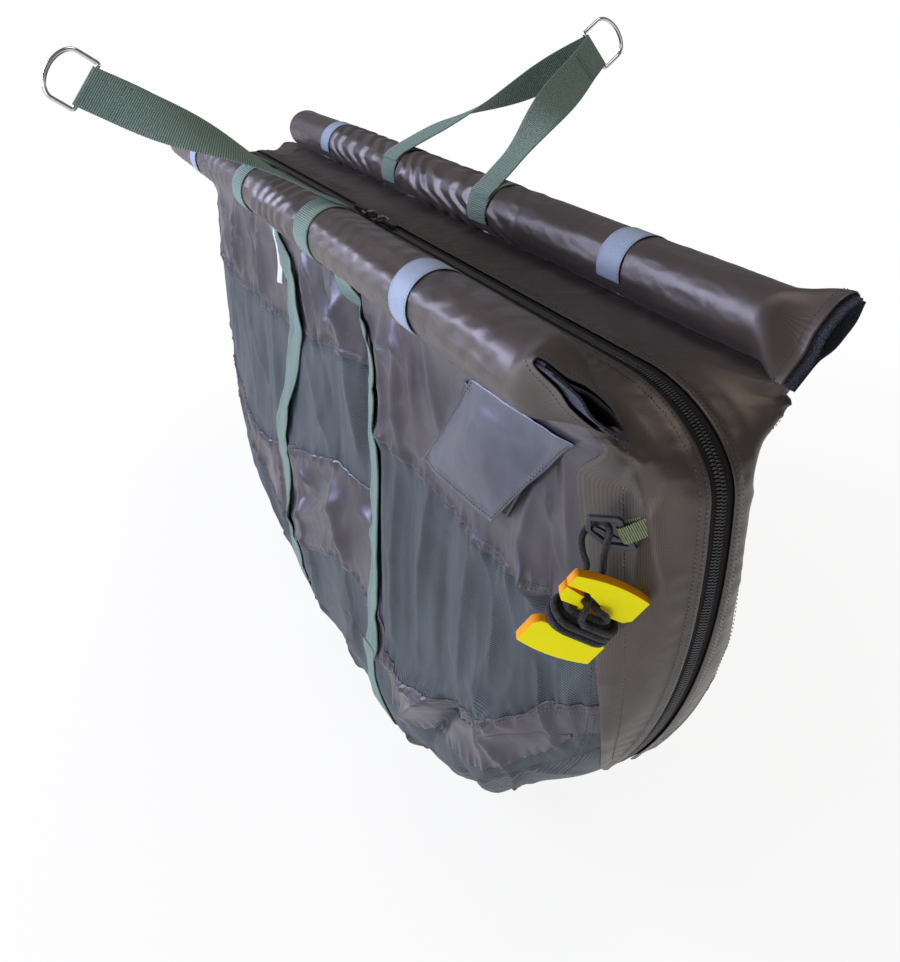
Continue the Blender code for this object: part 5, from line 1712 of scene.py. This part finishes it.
def patch_rim(rows, inset, lift):
    """Line along both sides and the lower edge of a patch, inset by some of its columns."""
    count, columns = len(rows) - 1, len(rows[0]) - 1
    line = [rows[r][inset] for r in range(inset, count - inset + 1)]
    line += [rows[count - inset][c] for c in range(inset, columns - inset + 1)]
    line += [rows[r][columns - inset] for r in range(count - inset, inset - 1, -1)]
    return [point + Vector((0, -lift, 0)) for point in line]


class SLING_OT_pocket(bpy.types.Operator):
    """Builds the pocket, its flap with stitched edges and the bare woven tab"""
    bl_idname = "sling.pocket"
    bl_label = "Pocket and tab"

    def execute(self, context):
        cloth = context.scene.sling.cloth
        rows, uvs = patch_rows(POCKET_BACK, POCKET_FRONT, POCKET_TOP, POCKET_BOTTOM, POCKET_SLANT,
                               0.0012)
        piece = grid_piece("pocket_cloth", rows, uvs, material_of("nylon"),
                           thickness=cloth.thickness, offset=1.0)
        dress(piece, "near_side", "nylon", "pocket_body")
        dress(stitch_piece("pocket_stitches", [patch_rim(rows, 1, 0.0012)],
                           material_of("dark_thread")), "near_side", "nylon")
        rows, uvs = patch_rows(FLAP_BACK, FLAP_FRONT, FLAP_TOP, FLAP_BOTTOM, FLAP_SLANT, 0.0026,
                               44, 30, 0.0060)
        piece = grid_piece("flap_cloth", rows, uvs, material_of("flap"),
                           thickness=cloth.thickness, offset=1.0)
        dress(piece, "flap", "nylon", "pocket_flap")
        dark = stitch_piece("flap_stitches", [patch_rim(rows, 1, 0.0012)],
                            material_of("dark_thread"), 0.0042, 0.6, 0.0006)
        pale = stitch_piece("flap_stitches_pale", [patch_rim(rows, 2, 0.0012)],
                            material_of("pale_thread"), 0.0042, 0.45, 0.0004)
        dress(dark, "flap", "nylon")
        dress(pale, "flap", "nylon")
        rows = []
        for step in range(19):
            z = lerp(-0.046, -0.118, step / 18)
            rows.append([side_surface(NEAR, -0.118 - 0.010 * c / 3, z, 0.0010 + 0.0030 * c / 3)
                         for c in range(4)])
        dress(ribbon_piece("side_tab_tape", rows, material_of("tab"), 0.0006), "near_side",
              "tab", "side_tab")
        return {"FINISHED"}


# Clip, winder and cord

def clip_point(across, up, out=0.0):
    """Point given from the clip's centre."""
    return CLIP_CENTRE + CLIP_ACROSS * across + CLIP_UP * up + CLIP_ACROSS.cross(CLIP_UP) * out


def frame_of(origin, first, second):
    """Matrix with its x along the first direction and its y on the second's side."""
    x = first.normalized()
    z = x.cross(second).normalized()
    y = z.cross(x)
    return Matrix.Translation(origin) @ Matrix((x, y, z)).transposed().to_4x4()


def winder_point(across, up, out):
    """Point given from the winder's centre."""
    return frame_of(WINDER_CENTRE, WINDER_ACROSS, -WINDER_DOWN) @ Vector((across, up, out))


def arc(centre, radius, start, end, count):
    """Points of an arc from a start to an end in degrees."""
    angles = [math.radians(lerp(start, end, step / count)) for step in range(count + 1)]
    return [(centre[0] + radius * math.cos(a), centre[1] + radius * math.sin(a)) for a in angles]


def winder_outline():
    """Outline of the winder, anticlockwise; a slit joins the slanted slot to the left end."""
    half, tall = WINDER_WIDTH / 2, WINDER_HEIGHT / 2
    neck, gap, cut, slit_width = WAIST_WIDTH / 2, WAIST_GAP / 2, WINDER_CHAMFER, 0.0010
    edge = [(x, -tall - WINDER_CROWN * (1 - (x / half) ** 2))
            for x in (lerp(-half, half, step / 24) for step in range(25))]
    points = edge + [(half, -gap - cut), (half - cut, -gap), (neck, -gap)]
    points += [(neck, gap), (half - cut, gap), (half, gap + cut)]
    points += [(-x, -y) for x, y in edge]
    slit = lerp(gap, tall, 0.56)
    middle = (-0.0030, gap + 0.0047)
    slant, radius = math.radians(-25), 0.0043
    reach = (math.cos(slant) * 0.00715, math.sin(slant) * 0.00715)
    right = (middle[0] + reach[0], middle[1] + reach[1])
    left = (middle[0] - reach[0], middle[1] - reach[1])
    points += [(-half, slit + slit_width / 2), (left[0] - radius * 0.6, slit + slit_width / 2)]
    points += arc(left, radius, 90, 65, 4) + arc(right, radius, 65, -115, 16)
    points += arc(left, radius, -115, -210, 10) + [(-half, slit - slit_width / 2)]
    points += [(-half, gap + cut), (-half + cut, gap), (-neck, gap)]
    return points + [(-neck, -gap), (-half + cut, -gap), (-half, -gap - cut)]


class SLING_OT_winder(bpy.types.Operator):
    """Builds the foam winder: yellow faces, orange cut edges"""
    bl_idname = "sling.winder"
    bl_label = "Cord winder"

    def execute(self, context):
        curve = bpy.data.curves.new("winder_outline", "CURVE")
        curve.dimensions = "2D"
        curve.fill_mode = "BOTH"
        bevel = 0.0004
        curve.extrude = WINDER_THICKNESS / 2 - bevel
        curve.bevel_depth = bevel
        curve.bevel_resolution = 2
        curve.offset = -bevel
        spline = curve.splines.new("POLY")
        outline = winder_outline()
        spline.points.add(len(outline) - 1)
        for spot, (x, y) in zip(spline.points, outline):
            spot.co = (x, y, 0, 1)
        spline.use_cyclic_u = True
        shape = bpy.data.objects.new("winder_outline", curve)
        mesh = bpy.data.meshes.new_from_object(shape)
        bpy.data.objects.remove(shape)
        bpy.data.curves.remove(curve)
        mesh.materials.clear()
        mesh.materials.append(material_of("foam_face"))
        mesh.materials.append(material_of("foam_side"))
        for face in mesh.polygons:
            face.material_index = 0 if abs(face.normal.z) > 0.9 else 1
        mesh.transform(frame_of(WINDER_CENTRE, WINDER_ACROSS, -WINDER_DOWN))
        piece = bpy.data.objects.new("winder_board", mesh)
        bpy.context.scene.collection.objects.link(piece)
        dress(piece, "winder", "winder", "cord_winder")
        return {"FINISHED"}


def winding_route(steps=40):
    """The wound cord: down the waist in the inner layer, back up in the outer one."""
    top = TURN_PITCH * TURNS_PER_LAYER / 2
    first = WINDER_THICKNESS / 2 + CLEARANCE + CORD_DIAMETER / 2
    climb, points = 0.5, []
    for step in range(round(2 * TURNS_PER_LAYER * steps) + 1):
        turn = step / steps
        if turn <= TURNS_PER_LAYER:
            layer, up = 0.0, top - TURN_PITCH * turn
        elif turn <= TURNS_PER_LAYER + climb:
            layer, up = (turn - TURNS_PER_LAYER) / climb, -top
        else:
            layer, up = 1.0, -top + TURN_PITCH * (turn - TURNS_PER_LAYER - climb)
        across, out = stadium(turn + 0.5, first + layer * TURN_PITCH)
        points.append(winder_point(across, up, out))
    return points


def stadium(turn, radius):
    """Point of a loop round the flat waist, at a share of its length."""
    half, bend = WAIST_WIDTH / 2, math.pi * radius
    path = (turn % 1.0) * 2 * (WAIST_WIDTH + bend)
    if path < half:
        return path, -radius
    path -= half
    if path < bend:
        angle = path / radius - math.pi / 2
        return half + radius * math.cos(angle), radius * math.sin(angle)
    path -= bend
    if path < WAIST_WIDTH:
        return half - path, radius
    path -= WAIST_WIDTH
    if path < bend:
        angle = path / radius + math.pi / 2
        return -half + radius * math.cos(angle), radius * math.sin(angle)
    return -half + path - bend, -radius


def smooth_route(points, steps):
    """Curve through the points, with some steps between each two."""
    spots = [points[0] * 2 - points[1], *points, points[-1] * 2 - points[-2]]
    route = []
    for before, start, end, after in zip(spots, spots[1:], spots[2:], spots[3:]):
        for step in range(steps):
            t = step / steps
            route.append(0.5 * (2 * start + (end - before) * t
                                + (2 * before - 5 * start + 4 * end - after) * t * t
                                + (3 * start - before - 3 * end + after) * t ** 3))
    route.append(points[-1])
    return route


def strand_route():
    """The free cord: from the winding's outer end up to the clip, through it and back."""
    winding = winding_route(24)
    leave = (winding[-1] - winding[-2]).normalized()
    arrive = (winding[1] - winding[0]).normalized()
    start = [winding[-1] + leave * CLEARANCE, winding[-1] + leave * (CLEARANCE + CORD_DIAMETER)]
    finish = [winding[0] - arrive * (CLEARANCE + CORD_DIAMETER), winding[0] - arrive * CLEARANCE]
    # Places that the cord passes, in millimetres from the winder's or the clip's centre
    down = [(-5.5, 7.2, 12.6), (-9.5, 10.5, 12.8), (-10.5, 14.5, 11.8), (-9.6, 17.8, 8.5),
            (-8.7, 19.3, 4.0), (-8.5, 19.5, 0.0), (-9.3, 20.3, -4.5), (-12.0, 23.5, -8.6),
            (-17.0, 30.0, -9.3), (-21.0, 38.0, -9.0)]
    hitch = [(-16.0, -13.0, 8.0), (-17.5, -6.5, 2.0), (-15.5, -3.0, -4.0), (-10.5, 0.8, -6.4),
             (-5.0, 3.4, -5.4), (-0.5, 3.8, 0.0), (1.0, 1.0, 5.6), (-1.0, -7.0, 6.6),
             (-2.3, -16.0, 7.5)]
    back = [(-8.0, 38.0, -9.5), (-5.5, 29.0, -9.8), (-3.5, 21.0, -8.8), (-2.4, 17.3, -4.8),
            (-2.0, 16.3, 0.0), (-1.6, 16.6, 3.8), (1.0, 17.8, 7.5), (5.5, 17.8, 9.6),
            (8.8, 14.5, 9.0), (8.0, 10.8, 7.4)]
    via = []
    for point_of, spots in ((winder_point, down), (clip_point, hitch), (winder_point, back)):
        via += [point_of(*(0.001 * value for value in spot)) for spot in spots]
    return smooth_route([*start, *via, *finish], 6)


class SLING_OT_cord(bpy.types.Operator):
    """Builds the braided cord: wound on the winder, its two ends up to the clip"""
    bl_idname = "sling.cord"
    bl_label = "Cord"

    def execute(self, context):
        radius = CORD_DIAMETER / 2
        winding, strands = winding_route(), strand_route()
        wound = tube_piece("cord_wound", winding, radius, 14, material_of("cord"))
        free = tube_piece("cord_strands", strands, radius, 14, material_of("cord"))
        dress(wound, "winder", "cord", "cord_winding")
        dress(free, "winder", "cord", "cord_lead")
        return {"FINISHED"}


class SLING_OT_clip(bpy.types.Operator):
    """Finishes the clip and builds its webbing loop"""
    bl_idname = "sling.clip"
    bl_label = "Clip"

    def execute(self, context):
        for node in ("clip_frame", "clip_gate"):
            finish_node(node, "clip")
        top, bottom = clip_point(0.0072, 0.0075), clip_point(0.0152, -0.0085)
        along = (bottom - top).normalized()
        middle = (top + bottom) / 2
        outward = CLIP_ACROSS.cross(CLIP_UP)
        away = along.cross(outward).normalized()
        if away.dot(CLIP_ACROSS) < 0:
            away.negate()
        reach, rise = 0.0041, 0.0021 + 0.0016
        route = [(0.0218, rise * 0.3), (0.016, rise * 0.5), (0.012, rise * 0.7), (0.004, rise),
                 (0.0, rise)]
        route += [(-reach * math.sin(a), rise * math.cos(a))
                  for a in np.linspace(0, math.pi, 15)[1:-1]]
        route += [(0.0, -rise), (0.004, -rise), (0.012, -rise * 0.6), (0.016, -rise * 0.4),
                  (0.0218, -rise * 0.2)]
        rows = [[middle + away * x + outward * y + along * (0.0125 * (c / 6 - 0.5))
                 for c in range(7)] for x, y in route]
        piece = ribbon_piece("clip_loop_webbing", rows, material_of("loop"), 0.0009)
        dress(piece, "near_side", "loop", "clip_loop")
        return {"FINISHED"}


def finish_node(node, look):
    """Gives a CAD node that keeps its shape one of the sling's materials."""
    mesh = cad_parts[node].data
    mesh.materials.clear()
    mesh.materials.append(material_of(look))


class SLING_OT_fittings(bpy.types.Operator):
    """Finishes the floats, zip sliders and pulls"""
    bl_idname = "sling.fittings"
    bl_label = "Floats and sliders"

    def execute(self, context):
        for word in SIDES.values():
            finish_node(f"foam_float_{word}", "float")
        for word in ENDS.values():
            finish_node(f"zip_slider_{word}", "enamel")
            finish_node(f"pull_ring_{word}", "steel")
            finish_node(f"pull_grip_{word}", "rubber")
        return {"FINISHED"}


# Stage

class SLING_OT_stage(bpy.types.Operator):
    """Builds the floor, lights and camera"""
    bl_idname = "sling.stage"
    bl_label = "Stage"

    def execute(self, context):
        mesh = bpy.data.meshes.new("floor")
        floor_level = -0.604
        mesh.from_pydata([(-6, -6, floor_level), (6, -6, floor_level), (6, 6, floor_level),
                          (-6, 6, floor_level)], [], [(0, 1, 2, 3)])
        material, tree, shader = new_material("matt white floor", 0.9)
        grain = add_node(tree, "ShaderNodeTexNoise", {"Scale": 3.0})
        tint = add_node(tree, "ShaderNodeMix", {0: grain, 6: "#f4f4f3", 7: "#f8f8f8"}, 2,
                        data_type="RGBA")
        set_surface(tree, shader, tint)
        self.white_where_seen(tree, shader)
        mesh.materials.append(material)
        floor = bpy.data.objects.new("floor", mesh)
        bpy.context.scene.collection.objects.link(floor)
        self.lights(context)
        self.camera(context)
        context.scene.view_settings.view_transform = "Standard"
        return {"FINISHED"}

    @staticmethod
    def white_where_seen(tree, shader):
        """The floor looks white to the camera, and keeps a faint shadow below the sling."""
        from_camera = add_node(tree, "ShaderNodeLightPath", output="Is Camera Ray")
        from_gloss = add_node(tree, "ShaderNodeLightPath", output="Is Glossy Ray")
        seen = add_node(tree, "ShaderNodeMath", {0: from_camera, 1: from_gloss},
                        operation="MAXIMUM")
        place = add_node(tree, "ShaderNodeTexCoord", output="Object")
        reach = add_node(tree, "ShaderNodeVectorMath", {0: place}, "Value", operation="LENGTH")
        far = add_node(tree, "ShaderNodeMapRange", {"Value": reach, "From Min": 0.7,
                                                    "From Max": 1.7, "To Min": 0.88})
        share = add_node(tree, "ShaderNodeMath", {0: seen, 1: far}, operation="MULTIPLY")
        glow = add_node(tree, "ShaderNodeEmission", {"Color": "#ffffff"})
        mix = add_node(tree, "ShaderNodeMixShader", {0: share, 1: shader.outputs["BSDF"], 2: glow})
        tree.links.new(mix, tree.nodes["Material Output"].inputs["Surface"])

    @staticmethod
    def lights(context):
        world = bpy.data.worlds.new("white studio")
        world.use_nodes = True
        tree = world.node_tree
        background = tree.nodes["Background"]
        from_camera = add_node(tree, "ShaderNodeLightPath", output="Is Camera Ray")
        through = add_node(tree, "ShaderNodeLightPath", output="Is Transmission Ray")
        seen = add_node(tree, "ShaderNodeMath", {0: from_camera, 1: through},
                        operation="MAXIMUM")
        strength = add_node(tree, "ShaderNodeMath", {0: seen, 1: 0.80, 2: 0.20},
                            operation="MULTIPLY_ADD")
        tree.links.new(strength, background.inputs["Strength"])
        background.inputs["Color"].default_value = (1, 1, 1, 1)
        context.scene.world = world
        lamps = [
            ("window_back_left", (-1.5, -2.0, 0.8), (0, 0, -0.15), 1.0, 74, "#dfe4ff"),
            ("window_low", (-0.2, -2.3, 0.3), (0.2, 0, -0.25), 0.7, 20, "#e6eaff"),
            ("overhead", (0.5, 0.2, 2.4), (0, 0, -0.2), 1.4, 20, "#fff0e2"),
            ("fill_front", (1.6, -1.3, -0.2), (0.5, 0, -0.2), 0.8, 8, "#ffffff"),
        ]
        for name, place, target, size, power, colour in lamps:
            lamp = bpy.data.lights.new(name, "AREA")
            lamp.size = size
            lamp.energy = power
            lamp.color = linear(colour)[:3]
            thing = bpy.data.objects.new(name, lamp)
            thing.location = place
            aim = Vector(target) - Vector(place)
            thing.rotation_euler = aim.to_track_quat("-Z", "Y").to_euler()
            context.scene.collection.objects.link(thing)

    @staticmethod
    def camera(context):
        data = bpy.data.cameras.new("camera")
        data.lens = 38.225
        data.sensor_width = 36
        data.sensor_fit = "AUTO"
        data.shift_x = -0.01775
        data.shift_y = -0.09845
        data.clip_start = 0.02
        right = Vector((0.43293, 0.90105, -0.02598))
        forward = Vector((-0.83609, 0.39061, -0.38520)).normalized()
        right = (right - forward * right.dot(forward)).normalized()
        up = right.cross(forward)
        eye = bpy.data.objects.new("camera", data)
        eye.matrix_world = (Matrix.Translation((1.0707, -0.3923, 0.2430))
                            @ Matrix((right, up, -forward)).transposed().to_4x4())
        context.scene.collection.objects.link(eye)
        context.scene.camera = eye


OPERATORS = (
    SLING_OT_side_panels, SLING_OT_belly, SLING_OT_cover, SLING_OT_zip, SLING_OT_sleeves,
    SLING_OT_mouth_strips, SLING_OT_straps, SLING_OT_bands, SLING_OT_handles, SLING_OT_rings,
    SLING_OT_pocket, SLING_OT_winder, SLING_OT_cord, SLING_OT_clip, SLING_OT_fittings,
    SLING_OT_stage,
)


class SLING_PT_panel(bpy.types.Panel):
    """Lists the sling's settings and operators"""
    bl_idname = "SLING_PT_panel"
    bl_label = "Weigh Sling"
    bl_space_type = "VIEW_3D"
    bl_region_type = "UI"
    bl_category = "Weigh Sling"

    def draw(self, context):
        settings = context.scene.sling
        for group in (settings.cloth, settings.webbing):
            for key in group.__annotations__:
                self.layout.prop(group, key)
        for operator in OPERATORS:
            self.layout.operator(operator.bl_idname)


CLASSES = (ClothSettings, WebbingSettings, SlingSettings, *OPERATORS, SLING_PT_panel)


def register():
    for cls in CLASSES:
        bpy.utils.register_class(cls)
    bpy.types.Scene.sling = PointerProperty(type=SlingSettings)


def unregister():
    del bpy.types.Scene.sling
    for cls in reversed(CLASSES):
        bpy.utils.unregister_class(cls)


def main():
    register()
    for operator in OPERATORS:
        name = operator.bl_idname.split(".")[1]
        getattr(bpy.ops.sling, name)()


if __name__ == "__main__":
    main()
